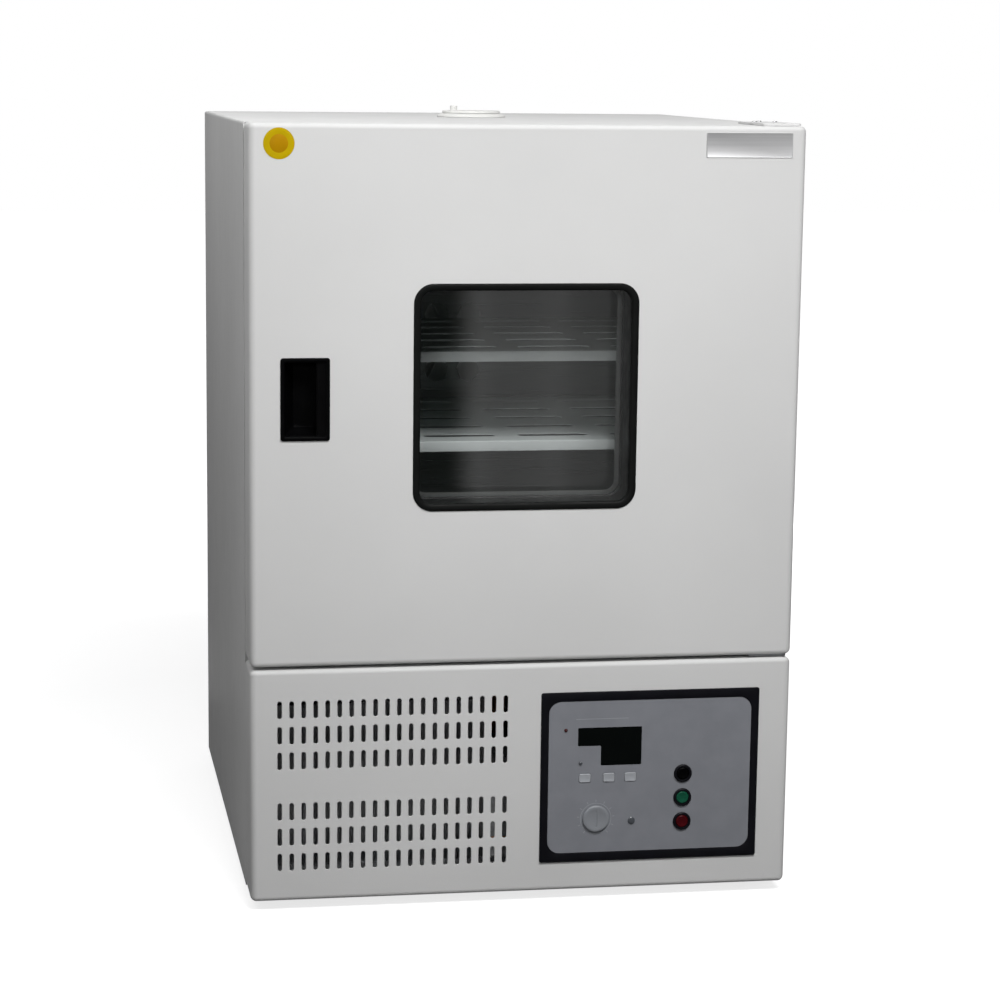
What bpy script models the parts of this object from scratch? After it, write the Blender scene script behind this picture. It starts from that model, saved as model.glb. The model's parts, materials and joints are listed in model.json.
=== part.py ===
"""Refrigerated laboratory incubator: a hinged, glazed door over a slotted front panel.

Metres, +Z up, front facing -Y. The origin is on the floor, under the middle of the cabinet.
"""

import math

import bmesh
import bpy
from mathutils import Matrix, Vector

# Overall cabinet
WIDTH = 0.620
DEPTH = 0.700  # front of the door to the rear edge of the casing
HEIGHT = 0.868  # lower edge of the casing to its top
FRONT_PROUD = 0.004  # how far buttons stand in front of the door's face
FIT = 0.0003  # gap between pieces that touch
SHEET = 0.0012  # painted steel sheet
SLIDE_FIT = 0.0008  # gap round something that slides or turns
WELD = 0.00001  # points nearer than this are one point
BEND_SHARE = 0.45  # how much of a tube's shorter run its bend takes

# Feet
FOOT_HEIGHT = 0.012
FOOT_RADIUS = 0.019
FOOT_SOLE_RADIUS = 0.0167
FOOT_INSET = 0.065

# Door and the seam under it
DOOR_THICKNESS = 0.060
DOOR_GAP = 0.006  # back of the door to the front of the cabinet
SEAM_GAP = 0.004
DOOR_EDGE_RADIUS = 0.005
FASCIA_HEIGHT = 0.266

# Hinges
HINGE_INSET = 0.014  # hinge axis to the door's side
HINGE_PIN_RADIUS = 0.004
HINGE_PIN_LENGTH = 0.016
HINGE_PLATE = 0.0025
HINGE_PLATE_WIDTH = 0.044
HINGE_PLATE_INSET = 0.004  # to the cabinet's side
HINGE_PLATE_RADIUS = 0.006
HINGE_FOOT_RADIUS = 0.002  # corners of the lower bracket
HINGE_PLATE_REACH = 0.022  # in front of the hinge axis
HINGE_PLATE_GRIP = 0.055  # top plate on the casing
HINGE_TAB_DROP = 0.024

# Casing, insulation and chamber
CASING_RADIUS = 0.003
REAR_FLANGE = 0.010
PAN_HEIGHT = 0.022
DECK_HEIGHT = 0.014
FRAME_DROP = 0.032  # front frame below the seam
WALL_SIDE = 0.063
WALL_FLOOR = 0.062
WALL_CEILING = 0.062
WALL_REAR = 0.060
LINER = 0.001  # stainless sheet
LINER_RADIUS = 0.012
LINER_SEGMENTS = 2  # facets of each rounded corner
LINER_LIP = 0.012
GASKET_INSET = 0.016  # to the door's edge
GASKET_WIDTH = 0.014
GASKET_RADIUS = 0.016
GASKET_INNER_RADIUS = 0.006

# Window
WINDOW_X = -0.003
WINDOW_SIZE = 0.2525  # outside of the rubber trim
WINDOW_RADIUS = 0.022
TRIM_WIDTH = 0.008
TRIM_LAP = 0.0065  # trim over the skin round the cut-out
TRIM_PROUD = 0.0018
GLASS = 0.004
GLASS_LAP = 0.005  # glass behind the skin round the cut-out
SPACER_WALL = 0.006
INNER_WINDOW_LAP = 0.010

# Handle
HANDLE_INSET = 0.0614  # middle of the pull to the door's free edge
HANDLE_WIDTH = 0.0545
HANDLE_HEIGHT = 0.0915
HANDLE_BORDER = 0.004
HANDLE_PROUD = 0.0018
HANDLE_DEPTH = 0.030
HANDLE_WALL = 0.002
HANDLE_RADIUS = 0.003
HANDLE_RAMP = 0.011  # slope on the hand's side
HANDLE_LIP = 0.010  # grip that the fingers reach behind
HANDLE_LIP_THICKNESS = 0.004
HANDLE_LIP_SET = 0.0008  # lip behind the frame's face, and its ends in the walls
HANDLE_SLOPE = 0.007  # slope at the foot of the pocket

# Grille in the lower front panel
SLOT_WIDTH = 0.005
SLOT_LENGTH = 0.020
SLOT_PITCH_X = 0.01347
SLOT_PITCH_Z = 0.0293
GRILLE_INSET = 0.03283  # middle of the first column to the cabinet's side
GRILLE_GAP = 0.036  # least distance from the last column to the control panel
SLOT_ROWS = (-3, -2, -1, 1, 2, 3)  # the middle row is left out

# Control panel
PANEL_INSET = 0.0365  # control panel to the cabinet's side
PANEL_WIDTH = 0.254
PANEL_HEIGHT = 0.199
PANEL_BORDER_X = 0.0088
PANEL_BORDER_Z = 0.0105
PANEL_RADIUS = 0.0145
PANEL_CORNER = 0.002  # outer corners
PANEL_LAP = 0.003
PANEL_LEDGE = 0.004
PANEL_LEDGE_THICKNESS = 0.0025
BEZEL_PROUD = 0.0020
PLATE_RECESS = 0.0008  # control plate behind the bezel's face
PLATE_THICKNESS = 0.002

# Display and keys, from the middle of the control panel
DISPLAY_X = (-0.0841, -0.0099)
DISPLAY_Z = (0.0129, 0.0577)
DISPLAY_STEP = (-0.0570, 0.0365)  # corner of the notch at the lower left
DISPLAY_RECESS = 0.0004
KEY_X = (-0.0755, -0.0475, -0.0225)
KEY_Z = -0.0012
KEY_WIDTH = 0.0135
KEY_HEIGHT = 0.0100
KEY_PROUD = 0.0010
KEY_TRAVEL = 0.0008
KEY_BACK = 0.003
KEY_RADIUS = 0.002
CONTROLLER_MARGIN = 0.002  # round the display
CONTROLLER_FOOT = 0.010  # below the keys' middle
CONTROLLER_DEPTH = 0.045

# Push buttons and limit dial, from the middle of the control panel
BUTTON_X = 0.0390
BUTTON_PITCH = 0.0283
BUTTON_MIDDLE_Z = -0.0272
BUTTON_BEZEL_RADIUS = 0.0105
BUTTON_BEZEL_PROUD = 0.0020
BUTTON_RADIUS = 0.0072
BUTTON_TRAVEL = 0.0025
BUTTON_LENGTH = 0.009
BUTTON_BEVEL = 0.001
SWITCH_RADIUS = 0.0086
SWITCH_DEPTH = 0.028
DIAL_X = -0.0620
DIAL_Z = -0.0490
DIAL_RADIUS = 0.0155
DIAL_PROUD = 0.003
DIAL_STEM_RADIUS = 0.003
DIAL_STEM_LENGTH = 0.017
DIAL_GROOVE_WIDTH = 0.0024
DIAL_GROOVE_LENGTH = 0.020
DIAL_GROOVE_DEPTH = 0.001

# Shelves
SHELF_ON_LEDGE = (2, 4)  # ledges under the two shelves, counted from 0 at the lowest one
SHELF_HEIGHT = 0.012
SHELF_FRONT_GAP = 0.030  # behind the front of the cabinet
SHELF_REAR_GAP = 0.045  # in front of the plenum's plate
SHELF_MARGIN = 0.045
SHELF_SLOT_ROWS = 5
SHELF_SLOT_COLUMNS = 4
SHELF_SLOT_PITCH = 0.110
SHELF_SLOT_LENGTH = 0.085
SHELF_SLOT_WIDTH = 0.020
RACK_THICKNESS = 0.002
RACK_LEDGE = 0.014
RACK_PITCH = 0.0514
RACK_FIRST = 0.0606  # lowest ledge above the chamber's floor
RACK_TOP_ROOM = 0.075  # least room over the highest ledge
RACK_END = 0.030  # rack beyond its end ledges

# Plenum behind the shelves
PLENUM = 0.088
BAFFLE_RING = 0.042  # circle of the air inlets round the middle one
BAFFLE_HOLES = 6
BAFFLE_HOLE_RADIUS = 0.016
OUTLETS = 5
OUTLET_PITCH = 0.085
OUTLET_LENGTH = 0.065
OUTLET_HEIGHT = 0.012
OUTLET_INSET = 0.035
PROBE_OFFSET = 0.150
PROBE_DROP = 0.080
PROBE_RADIUS = 0.003
PROBE_LENGTH = 0.050  # in front of the baffle
PROBE_TAIL = 0.020
FAN_RADIUS = 0.068
FAN_BLADES = 8
FAN_SHAFT_RADIUS = 0.004
FAN_DEPTH = 0.026
FAN_SETBACK = 0.022  # back of the impeller to the chamber's rear wall
FAN_DISC = 0.0015
FAN_HUB_RADIUS = 0.012
FAN_HUB_LENGTH = 0.0156
FAN_BLADE_START = 0.030
FAN_BLADE_TURN = 25  # degrees
BLADE = 0.002
SHAFT_HOLE_RADIUS = 0.008
MOTOR_RADIUS = 0.034
MOTOR_LENGTH = 0.048
MOTOR_ROOM = 0.002
SHAFT_IN_MOTOR = 0.014
HEATER_RADIUS = 0.088
HEATER_TUBE = 0.004
HEATER_SETBACK = 0.040
HEATER_GAP = 0.031  # above the evaporator
HEATER_ARC = (-75, 255)  # degrees
PROBE_COLLAR = 0.004

# Evaporator
EVAPORATOR_WIDTH = 0.300
EVAPORATOR_HEIGHT = 0.100
EVAPORATOR_DEPTH = 0.050
EVAPORATOR_FINS = 11
EVAPORATOR_SPINE = 0.012
EVAPORATOR_LIFT = 0.020  # above the chamber's floor
EVAPORATOR_BENDS = (0.015, 0.055)  # lower legs of the end bends, above the coil's underside
EVAPORATOR_BEND_RISE = 0.030
EVAPORATOR_BEND_REACH = 0.022
EVAPORATOR_TUBE = 0.004

# Machine compartment
CONDENSER_INSET = 0.035  # to the cabinet's side
CONDENSER_WIDTH = 0.250
CONDENSER_HEIGHT = 0.200
CONDENSER_DEPTH = 0.044
CONDENSER_FINS = 16
CONDENSER_SPINE = 0.010
CONDENSER_SETBACK = 0.020
FIN = 0.0015
SHROUD_DEPTH = 0.026
SHROUD_SHEET = 0.0015
SHROUD_GAP = 0.004  # round the blades
SHROUD_ARM = 0.003
SHROUD_ARM_WIDTH = 0.012
COOLER_FAN_RADIUS = 0.080
COOLER_BLADES = 5
COOLER_BLADE_WIDTH = 0.044
COOLER_BLADE_TURN = 22  # degrees
COOLER_HUB_RADIUS = 0.020
COOLER_HUB_LENGTH = 0.018
COOLER_SHAFT_RADIUS = 0.003
COOLER_SHAFT_LENGTH = 0.012
COOLER_MOTOR_RADIUS = 0.026
COOLER_MOTOR_LENGTH = 0.042
COOLER_MOTOR_GAP = 0.002  # between the fan's hub and its motor
COMPRESSOR_INSET = 0.170  # middle to the cabinet's side
COMPRESSOR_SETBACK = 0.182  # middle to the cabinet's rear
COMPRESSOR_RADIUS = 0.072
COMPRESSOR_HEIGHT = 0.165
COMPRESSOR_SEAM = 0.0908  # welded seam above the feet
COMPRESSOR_BAND = 0.003  # half the height of the seam's band
COMPRESSOR_BAND_SLOPE = 0.001
COMPRESSOR_BEND = (0.006, 0.030)  # where the wall's lower bend starts and ends
COMPRESSOR_SHARES = (0.75, 0.93, 0.96)  # widths of the underside, the wall and the band's foot to the band
COMPRESSOR_DOME = (0.4, 0.8, 1.15)  # angles of the dome's rings, in radians
COMPRESSOR_FEET = (0.078, 0.050)  # from the middle to each foot
COMPRESSOR_PLATE_LAP = 0.014
COMPRESSOR_PLATE = 0.003
GROMMET_HEIGHT = 0.014
GROMMET_RADIUS = 0.010
PORT_RADIUS = 0.007
PORT_LENGTH = 0.066
SUCTION_PORT = (-0.020, 0.030)  # from the compressor's middle
DISCHARGE_PORT = (-0.045, -0.020)
CONDENSATE_INSET = 0.170
CONDENSATE_SETBACK = 0.127  # middle to the cabinet's rear
CONDENSATE_PAN = (0.190, 0.130, 0.026)
CONDENSATE_WALL = 0.002
CONDENSATE_RADIUS = 0.005
DRAIN_RADIUS = 0.008
DRAIN_WALL = 0.002
DRAIN_FLANGE = 0.005
DRAIN_FLANGE_THICKNESS = 0.0015
DRAIN_DROP = 0.004  # tube's end above the pan's rim
LINE_PORT_INSET = 0.032  # from the coil's end
LINE_PORT_RADIUS = 0.016
SUCTION_RADIUS = 0.005
SUCTION_SIDE = -0.006  # of the port's middle
SUCTION_RISE = 0.040  # level run above the compressor
LIQUID_RADIUS = 0.003
LIQUID_SIDE = 0.009
LIQUID_RISE = 0.020  # over the suction line
LIQUID_SETBACK = 0.140  # upright run with the drier, in front of the compressor's middle
DISCHARGE_RISE = 0.025
CONDENSER_PORTS = (0.030, 0.180)  # above the condenser's underside
DRIER_RADIUS = 0.011
DRIER_LENGTH = 0.060
DRIER_TAPER = 0.010

# Top vent
VENT_Y = 0.062
VENT_RADIUS = 0.042
VENT_TUBE_RADIUS = 0.019
VENT_FLANGE = 0.0045
DAMPER_RADIUS = 0.036
DAMPER_THICKNESS = 0.003
DAMPER_HOLE_RADIUS = 0.0042
DAMPER_HOLE_PLACE = 0.0095
DAMPER_TURN = 60  # degrees, from open to closed
VENT_WEB = 0.0025
VENT_TUBE_WALL = 0.002
KNOB_RADIUS = 0.005
KNOB_HEIGHT = 0.006
KNOB_PLACE = 0.022

# Rear cover and mains inlet
LOUVRE_WIDTH = 0.008
LOUVRE_LENGTH = 0.060
LOUVRE_PITCH = 0.030
LOUVRE_COLUMNS = 12
LOUVRE_LEVELS = (-0.020, 0.060)  # from the front panel's middle
LOUVRE_OFFSET = 0.040  # away from the mains inlet
INLET_INSET = 0.075
INLET_Z = 0.070
INLET_WIDTH = 0.050
INLET_HEIGHT = 0.032
INLET_DEPTH = 0.024
INLET_FLANGE = 0.003
INLET_RADIUS = 0.004
INLET_BODY_INSET = (0.006, 0.004)  # flange beyond the moulded body
INLET_BODY_RADIUS = 0.002
INLET_WALLS = (0.005, 0.0025)
INLET_BLADE = (0.002, 0.006)
INLET_BLADES = ((-0.007, -0.002), (0, 0.004), (0.007, -0.002))

# Places that follow from the sizes above
HALF = WIDTH / 2
FRONT = FRONT_PROUD - (DEPTH + FRONT_PROUD) / 2
REAR = FRONT + DEPTH
FACE = FRONT + DOOR_THICKNESS + DOOR_GAP
DOOR_BACK = FRONT + DOOR_THICKNESS
BOTTOM = FOOT_HEIGHT
TOP = BOTTOM + HEIGHT
SEAM = BOTTOM + FASCIA_HEIGHT
DOOR_BOTTOM = SEAM + SEAM_GAP
DOOR_MIDDLE = (DOOR_BOTTOM + TOP) / 2
FASCIA_MIDDLE = (BOTTOM + SEAM) / 2
INNER_HALF = HALF - SHEET - FIT
INNER_TOP = TOP - SHEET - FIT
INNER_REAR = REAR - REAR_FLANGE - FIT
INNER_RADIUS = CASING_RADIUS - SHEET - FIT
PAN_FLOOR = BOTTOM + SHEET
HINGE_X = HALF - HINGE_INSET
HINGE_Y = FRONT + DOOR_THICKNESS / 2
CHAMBER_HALF = HALF - WALL_SIDE
CHAMBER_FLOOR = DOOR_BOTTOM + WALL_FLOOR
CHAMBER_TOP = TOP - WALL_CEILING
CHAMBER_REAR = REAR - REAR_FLANGE - WALL_REAR
BAFFLE_BACK = CHAMBER_REAR - PLENUM
SHELF_FRONT = FACE + SHELF_FRONT_GAP
SHELF_DEPTH = BAFFLE_BACK - LINER - SHELF_REAR_GAP - SHELF_FRONT
WINDOW_CUT = WINDOW_SIZE - 2 * TRIM_LAP
WINDOW_CUT_RADIUS = WINDOW_RADIUS - TRIM_LAP
GLASS_SIZE = WINDOW_CUT + 2 * GLASS_LAP
CHAMBER_MIDDLE = (CHAMBER_FLOOR + CHAMBER_TOP) / 2
COIL_Y = CHAMBER_REAR - FIT - EVAPORATOR_DEPTH / 2
COIL_FLOOR = CHAMBER_FLOOR + EVAPORATOR_LIFT
FAN_HEIGHT = COIL_FLOOR + EVAPORATOR_HEIGHT + HEATER_GAP + HEATER_TUBE + HEATER_RADIUS
LINE_PORT_X = EVAPORATOR_WIDTH / 2 - LINE_PORT_INSET
LINE_PORT_Y = CHAMBER_REAR - PLENUM / 2
HANDLE_X = HANDLE_INSET - HALF
PANEL_X = HALF - PANEL_INSET - PANEL_WIDTH / 2
INLET_X = INLET_INSET - HALF
CONDENSER_X = CONDENSER_INSET + CONDENSER_WIDTH / 2 - HALF
COMPRESSOR_X = HALF - COMPRESSOR_INSET
COMPRESSOR_Y = REAR - COMPRESSOR_SETBACK
CONDENSATE_X = CONDENSATE_INSET - HALF
CONDENSATE_Y = REAR - CONDENSATE_SETBACK
LIQUID_Y = COMPRESSOR_Y - LIQUID_SETBACK

ALONG = {
    "X": Matrix(((0, 0, 1, 0), (1, 0, 0, 0), (0, 1, 0, 0), (0, 0, 0, 1))),
    "Y": Matrix(((1, 0, 0, 0), (0, 0, -1, 0), (0, 1, 0, 0), (0, 0, 0, 1))),
    "Z": Matrix.Identity(4),
}

PAINT = ("Cabinet paint", (0.69, 0.69, 0.68), 0.45, 0.0)
STEEL = ("Stainless steel", (0.55, 0.57, 0.56), 0.30, 1.0)
GALVANISED = ("Galvanised steel", (0.55, 0.56, 0.57), 0.50, 1.0)
BLACK = ("Black plastic", (0.012, 0.012, 0.012), 0.40, 0.0)
RUBBER = ("Black rubber", (0.02, 0.02, 0.02), 0.70, 0.0)
GLASS_LOOK = ("Glass", (0.75, 0.80, 0.78), 0.05, 0.0)
FOAM = ("Insulation", (0.80, 0.72, 0.45), 0.90, 0.0)
PLATE_GREY = ("Control plate", (0.18, 0.19, 0.21), 0.50, 0.0)
KEY_GREY = ("Key", (0.28, 0.29, 0.31), 0.50, 0.0)
DISPLAY_BLACK = ("Display", (0.004, 0.006, 0.006), 0.10, 0.0)
GREEN = ("Green button", (0.01, 0.18, 0.08), 0.30, 0.0)
RED = ("Red button", (0.20, 0.005, 0.01), 0.30, 0.0)
ALUMINIUM = ("Aluminium", (0.60, 0.61, 0.62), 0.40, 1.0)
COPPER = ("Copper", (0.60, 0.30, 0.18), 0.35, 1.0)
ENAMEL = ("Black enamel", (0.02, 0.02, 0.022), 0.35, 0.0)
WHITE_PLASTIC = ("White plastic", (0.72, 0.72, 0.70), 0.45, 0.0)


def start_scene():
    for old in list(bpy.data.objects):
        bpy.data.objects.remove(old, do_unlink=True)
    made = []
    for name in ("Refrigerated incubator", "Cutters"):
        collection = bpy.data.collections.new(name)
        bpy.context.scene.collection.children.link(collection)
        made.append(collection)
    return made


PARTS, CUTTERS = start_scene()


def material(look):
    name, colour, roughness, metallic = look
    found = bpy.data.materials.get(name)
    if found:
        return found
    made = bpy.data.materials.new(name)
    made.use_nodes = True
    shader = made.node_tree.nodes["Principled BSDF"]
    shader.inputs["Base Color"].default_value = (*colour, 1.0)
    shader.inputs["Roughness"].default_value = roughness
    shader.inputs["Metallic"].default_value = metallic
    return made


def shell_mesh(bm):
    """The mesh of a bmesh whose faces point out."""
    bmesh.ops.recalc_face_normals(bm, faces=bm.faces)
    mesh = bpy.data.meshes.new("mesh")
    bm.to_mesh(mesh)
    bm.free()
    return mesh


def part(name, bm, look):
    """One sub-part, from a closed shape in world coordinates."""
    mesh = shell_mesh(bm)
    mesh.materials.append(material(look))
    mesh.shade_smooth()
    mesh.set_sharp_from_angle(angle=math.radians(32))
    made = bpy.data.objects.new(name, mesh)
    PARTS.objects.link(made)
    return made


def tool(bm):
    """A hidden shape that cuts or joins."""
    made = bpy.data.objects.new("cutter", shell_mesh(bm))
    CUTTERS.objects.link(made)
    made.hide_render = True
    made.display_type = "WIRE"
    return made


def cut(target, *shapes):
    for bm in shapes:
        modifier = target.modifiers.new("Cut", "BOOLEAN")
        modifier.operation = "DIFFERENCE"
        modifier.object = tool(bm)


def join(target, *shapes, solver="EXACT"):
    for bm in shapes:
        modifier = target.modifiers.new("Join", "BOOLEAN")
        modifier.operation = "UNION"
        modifier.solver = solver
        modifier.object = tool(bm)


def block(low, high, radius=0.0, keep=(), segments=2):
    """A box, its edges rounded except those that touch a side named in keep, such as '-Y'."""
    low, high = Vector(low), Vector(high)
    bm = bmesh.new()
    bmesh.ops.create_cube(bm, size=1.0)
    bmesh.ops.scale(bm, vec=high - low, verts=bm.verts)
    bmesh.ops.translate(bm, vec=(low + high) / 2, verts=bm.verts)
    if radius > 0:
        kept = {edge for side in keep for face in side_faces(bm, side) for edge in face.edges}
        edges = [edge for edge in bm.edges if edge not in kept]
        bmesh.ops.bevel(bm, geom=edges, offset=radius, segments=segments, profile=0.5, affect="EDGES")
    return bm


def side_faces(bm, side):
    way = Vector([(-1 if side[0] == "-" else 1) * (axis == side[1]) for axis in "XYZ"])
    bm.normal_update()
    return [face for face in bm.faces if face.normal.dot(way) > 0.99]


def ridge_block(low, high, axis, radius, segments=3):
    """A box whose four edges along one axis are rounded."""
    low, high = Vector(low), Vector(high)
    index = "XYZ".index(axis)
    across = [i for i in range(3) if i != index]
    middle = (low + high) / 2
    size = high - low
    u, v = across
    outline = rounded(middle[u], middle[v], size[u], size[v], radius, segments)
    return prism([outline], low[index], high[index], axis)


def tray(name, low, high, wall, opening, radius, look, segments=2):
    """Folded sheet: a box that is open on one side, with rounded bends."""
    bm = block(low, high)
    bmesh.ops.delete(bm, geom=side_faces(bm, opening), context="FACES_ONLY")
    bends = [edge for edge in bm.edges if len(edge.link_faces) == 2]
    bmesh.ops.bevel(bm, geom=bends, offset=radius, segments=segments, profile=0.5, affect="EDGES")
    made = part(name, bm, look)
    sheet = made.modifiers.new("Sheet", "SOLIDIFY")
    sheet.thickness = wall
    sheet.offset = -1
    sheet.use_even_offset = True
    return made


def arc(centre_u, centre_v, radius, start, end, segments):
    """Points on an arc, with angles in degrees."""
    points = []
    for step in range(segments + 1):
        angle = math.radians(start + (end - start) * step / segments)
        points.append((centre_u + radius * math.cos(angle), centre_v + radius * math.sin(angle)))
    return points


def rounded(centre_u, centre_v, width, height, radius, segments=4):
    """The outline of a rectangle with round corners."""
    u, v = width / 2 - radius, height / 2 - radius
    points = []
    for quarter, (side_u, side_v) in enumerate(((1, 1), (-1, 1), (-1, -1), (1, -1))):
        corner = (centre_u + side_u * u, centre_v + side_v * v)
        points += arc(*corner, radius, 90 * quarter, 90 * quarter + 90, segments)
    return points


def slot(centre_u, centre_v, width, height, segments=3):
    """The outline of a slot whose two short sides are half circles."""
    radius = min(width, height) / 2
    reach = max(width, height) / 2 - radius
    flat = arc(reach, 0, radius, -90, 90, segments) + arc(-reach, 0, radius, 90, 270, segments)
    if width > height:
        return [(centre_u + u, centre_v + v) for u, v in flat]
    return [(centre_u - v, centre_v + u) for u, v in flat]


def circle(centre_u, centre_v, radius, segments=16):
    return arc(centre_u, centre_v, radius, 0, 360, segments)[:-1]


def prism(outlines, low, high, axis):
    """A flat outline with any holes in it, extruded along an axis."""
    curve = bpy.data.curves.new("outline", "CURVE")
    curve.dimensions = "2D"
    curve.fill_mode = "BOTH"
    curve.extrude = (high - low) / 2
    for outline in outlines:
        spline = curve.splines.new("POLY")
        spline.points.add(len(outline) - 1)
        for point, (u, v) in zip(spline.points, outline):
            point.co = (u, v, 0, 1)
        spline.use_cyclic_u = True
    turn = ALONG[axis]
    centre = turn.to_3x3() @ Vector((0, 0, 1))
    place = Matrix.Translation(centre * centre.dot(Vector((1, 1, 1))) * (low + high) / 2)
    return curve_shape(curve, place @ turn)


def curve_shape(curve, place=None):
    """A closed shape made from a curve, its caps joined to its sides."""
    guide = bpy.data.objects.new("guide", curve)
    CUTTERS.objects.link(guide)
    bpy.context.view_layer.update()
    evaluated = guide.evaluated_get(bpy.context.evaluated_depsgraph_get())
    mesh = bpy.data.meshes.new_from_object(evaluated)
    bm = bmesh.new()
    bm.from_mesh(mesh)
    bmesh.ops.remove_doubles(bm, verts=bm.verts, dist=WELD)
    if place is not None:
        bm.transform(place)
    bmesh.ops.recalc_face_normals(bm, faces=bm.faces)
    bpy.data.objects.remove(guide)
    bpy.data.meshes.remove(mesh)
    bpy.data.curves.remove(curve)
    return bm


def rod(centre, radius, length, axis, segments=16, top_radius=None):
    """A cylinder or cone that starts at centre and runs along +axis."""
    bm = bmesh.new()
    bmesh.ops.create_cone(
        bm,
        cap_ends=True,
        segments=segments,
        radius1=radius,
        radius2=radius if top_radius is None else top_radius,
        depth=length,
    )
    bmesh.ops.translate(bm, vec=(0, 0, length / 2), verts=bm.verts)
    turn = {"X": Matrix.Rotation(math.pi / 2, 4, "Y"), "Y": Matrix.Rotation(-math.pi / 2, 4, "X")}
    bm.transform(Matrix.Translation(centre) @ turn.get(axis, Matrix.Identity(4)))
    return bm


def pipe(points, radius, sides=2, smooth=4):
    """A round tube along a smooth line through points."""
    path = smooth_path([Vector(point) for point in points], smooth)
    curve = bpy.data.curves.new("pipe", "CURVE")
    curve.dimensions = "3D"
    curve.bevel_depth = radius
    curve.bevel_resolution = sides
    curve.use_fill_caps = True
    spline = curve.splines.new("POLY")
    spline.points.add(len(path) - 1)
    for point, place in zip(spline.points, path):
        point.co = (*place, 1)
    return curve_shape(curve)


def smooth_path(points, steps):
    """Straight runs joined by round bends: each inner corner is cut by a quadratic arc."""
    path = [points[0]]
    for before, corner, after in zip(points, points[1:], points[2:]):
        reach = min((corner - before).length, (after - corner).length) * BEND_SHARE
        start = corner + (before - corner).normalized() * reach
        end = corner + (after - corner).normalized() * reach
        if steps == 0:
            path.append(corner)
            continue
        for step in range(steps + 1):
            t = step / steps
            path.append(start * (1 - t) ** 2 + corner * 2 * t * (1 - t) + end * t**2)
    path.append(points[-1])
    return path


def merged(*shapes):
    """Separate shapes as one mesh, for a cutter with many pieces."""
    bm = bmesh.new()
    for shape in shapes:
        mesh = bpy.data.meshes.new("piece")
        shape.to_mesh(mesh)
        bm.from_mesh(mesh)
        bpy.data.meshes.remove(mesh)
        shape.free()
    return bm


def pivot(made, place):
    """Move an object's origin to its joint's axis, leaving its shape where it is."""
    place = Vector(place)
    made.data.transform(Matrix.Translation(-place))
    made.location = place


def square(centre_x, centre_z, size, radius, low, high, segments=4):
    """A square rod along Y with round corners."""
    return prism([rounded(centre_x, centre_z, size, size, radius, segments)], low, high, "Y")


def fins_outline(width, depth, count, spine, centre_u, centre_v):
    """A flat spine with straight fins on both sides, as a comb outline."""
    pitch = (width - FIN) / (count - 1)
    front, back = [], []
    for index in range(count):
        left = centre_u - width / 2 + index * pitch
        for u in (left, left + FIN):
            near = ((u, centre_v - spine / 2), (u, centre_v - depth / 2))
            far = ((u, centre_v + spine / 2), (u, centre_v + depth / 2))
            rising = u == left
            front += near if rising else near[::-1]
            back += far if rising else far[::-1]
    return front[1:-1] + back[1:-1][::-1]


def build_feet():
    for side, x in (("left", -1), ("right", 1)):
        for end, y in (("front", FACE + FOOT_INSET), ("rear", REAR - FOOT_INSET)):
            place = (x * (HALF - FOOT_INSET), y, 0)
            shape = rod(place, FOOT_SOLE_RADIUS, FOOT_HEIGHT - FIT, "Z", 20, FOOT_RADIUS)
            part(f"foot_{end}_{side}", shape, RUBBER)


def build_casing():
    """One sheet folded over both sides and the top."""
    outer = [(-HALF, BOTTOM), (HALF, BOTTOM)]
    outer += arc(HALF - CASING_RADIUS, TOP - CASING_RADIUS, CASING_RADIUS, 0, 90, 3)
    outer += arc(CASING_RADIUS - HALF, TOP - CASING_RADIUS, CASING_RADIUS, 90, 180, 3)
    low = FACE
    casing = part("outer_casing", prism([outer], low, REAR, "Y"), PAINT)
    inside = HALF - SHEET
    bend = CASING_RADIUS - SHEET
    room = [(-inside, BOTTOM - SHEET), (inside, BOTTOM - SHEET)]
    room += arc(inside - bend, TOP - CASING_RADIUS, bend, 0, 90, 3)
    room += arc(bend - inside, TOP - CASING_RADIUS, bend, 90, 180, 3)
    vent = rod((0, VENT_Y, TOP - 2 * SHEET), VENT_TUBE_RADIUS + FIT, 4 * SHEET, "Z", 24)
    cut(casing, prism([room], low - SHEET, REAR + SHEET, "Y"), vent)


def build_base_and_deck():
    rear = INNER_REAR
    tray(
        "base_pan",
        (-INNER_HALF, FACE, BOTTOM),
        (INNER_HALF, rear, BOTTOM + PAN_HEIGHT),
        SHEET,
        "+Z",
        CASING_RADIUS,
        GALVANISED,
    )
    deck = tray(
        "compartment_deck",
        (-INNER_HALF, FACE + SHEET + FIT, DOOR_BOTTOM - DECK_HEIGHT),
        (INNER_HALF, rear, DOOR_BOTTOM),
        SHEET,
        "-Z",
        CASING_RADIUS,
        GALVANISED,
    )
    cut(deck, *floor_holes(DOOR_BOTTOM - 2 * SHEET, DOOR_BOTTOM + SHEET))


def floor_holes(low, high):
    """Ways for the drain tube and the refrigerant lines."""
    drain = rod((CONDENSATE_X, CONDENSATE_Y, low), DRAIN_RADIUS + FIT, high - low, "Z")
    lines = rod((LINE_PORT_X, LINE_PORT_Y, low), LINE_PORT_RADIUS, high - low, "Z")
    return drain, lines


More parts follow.
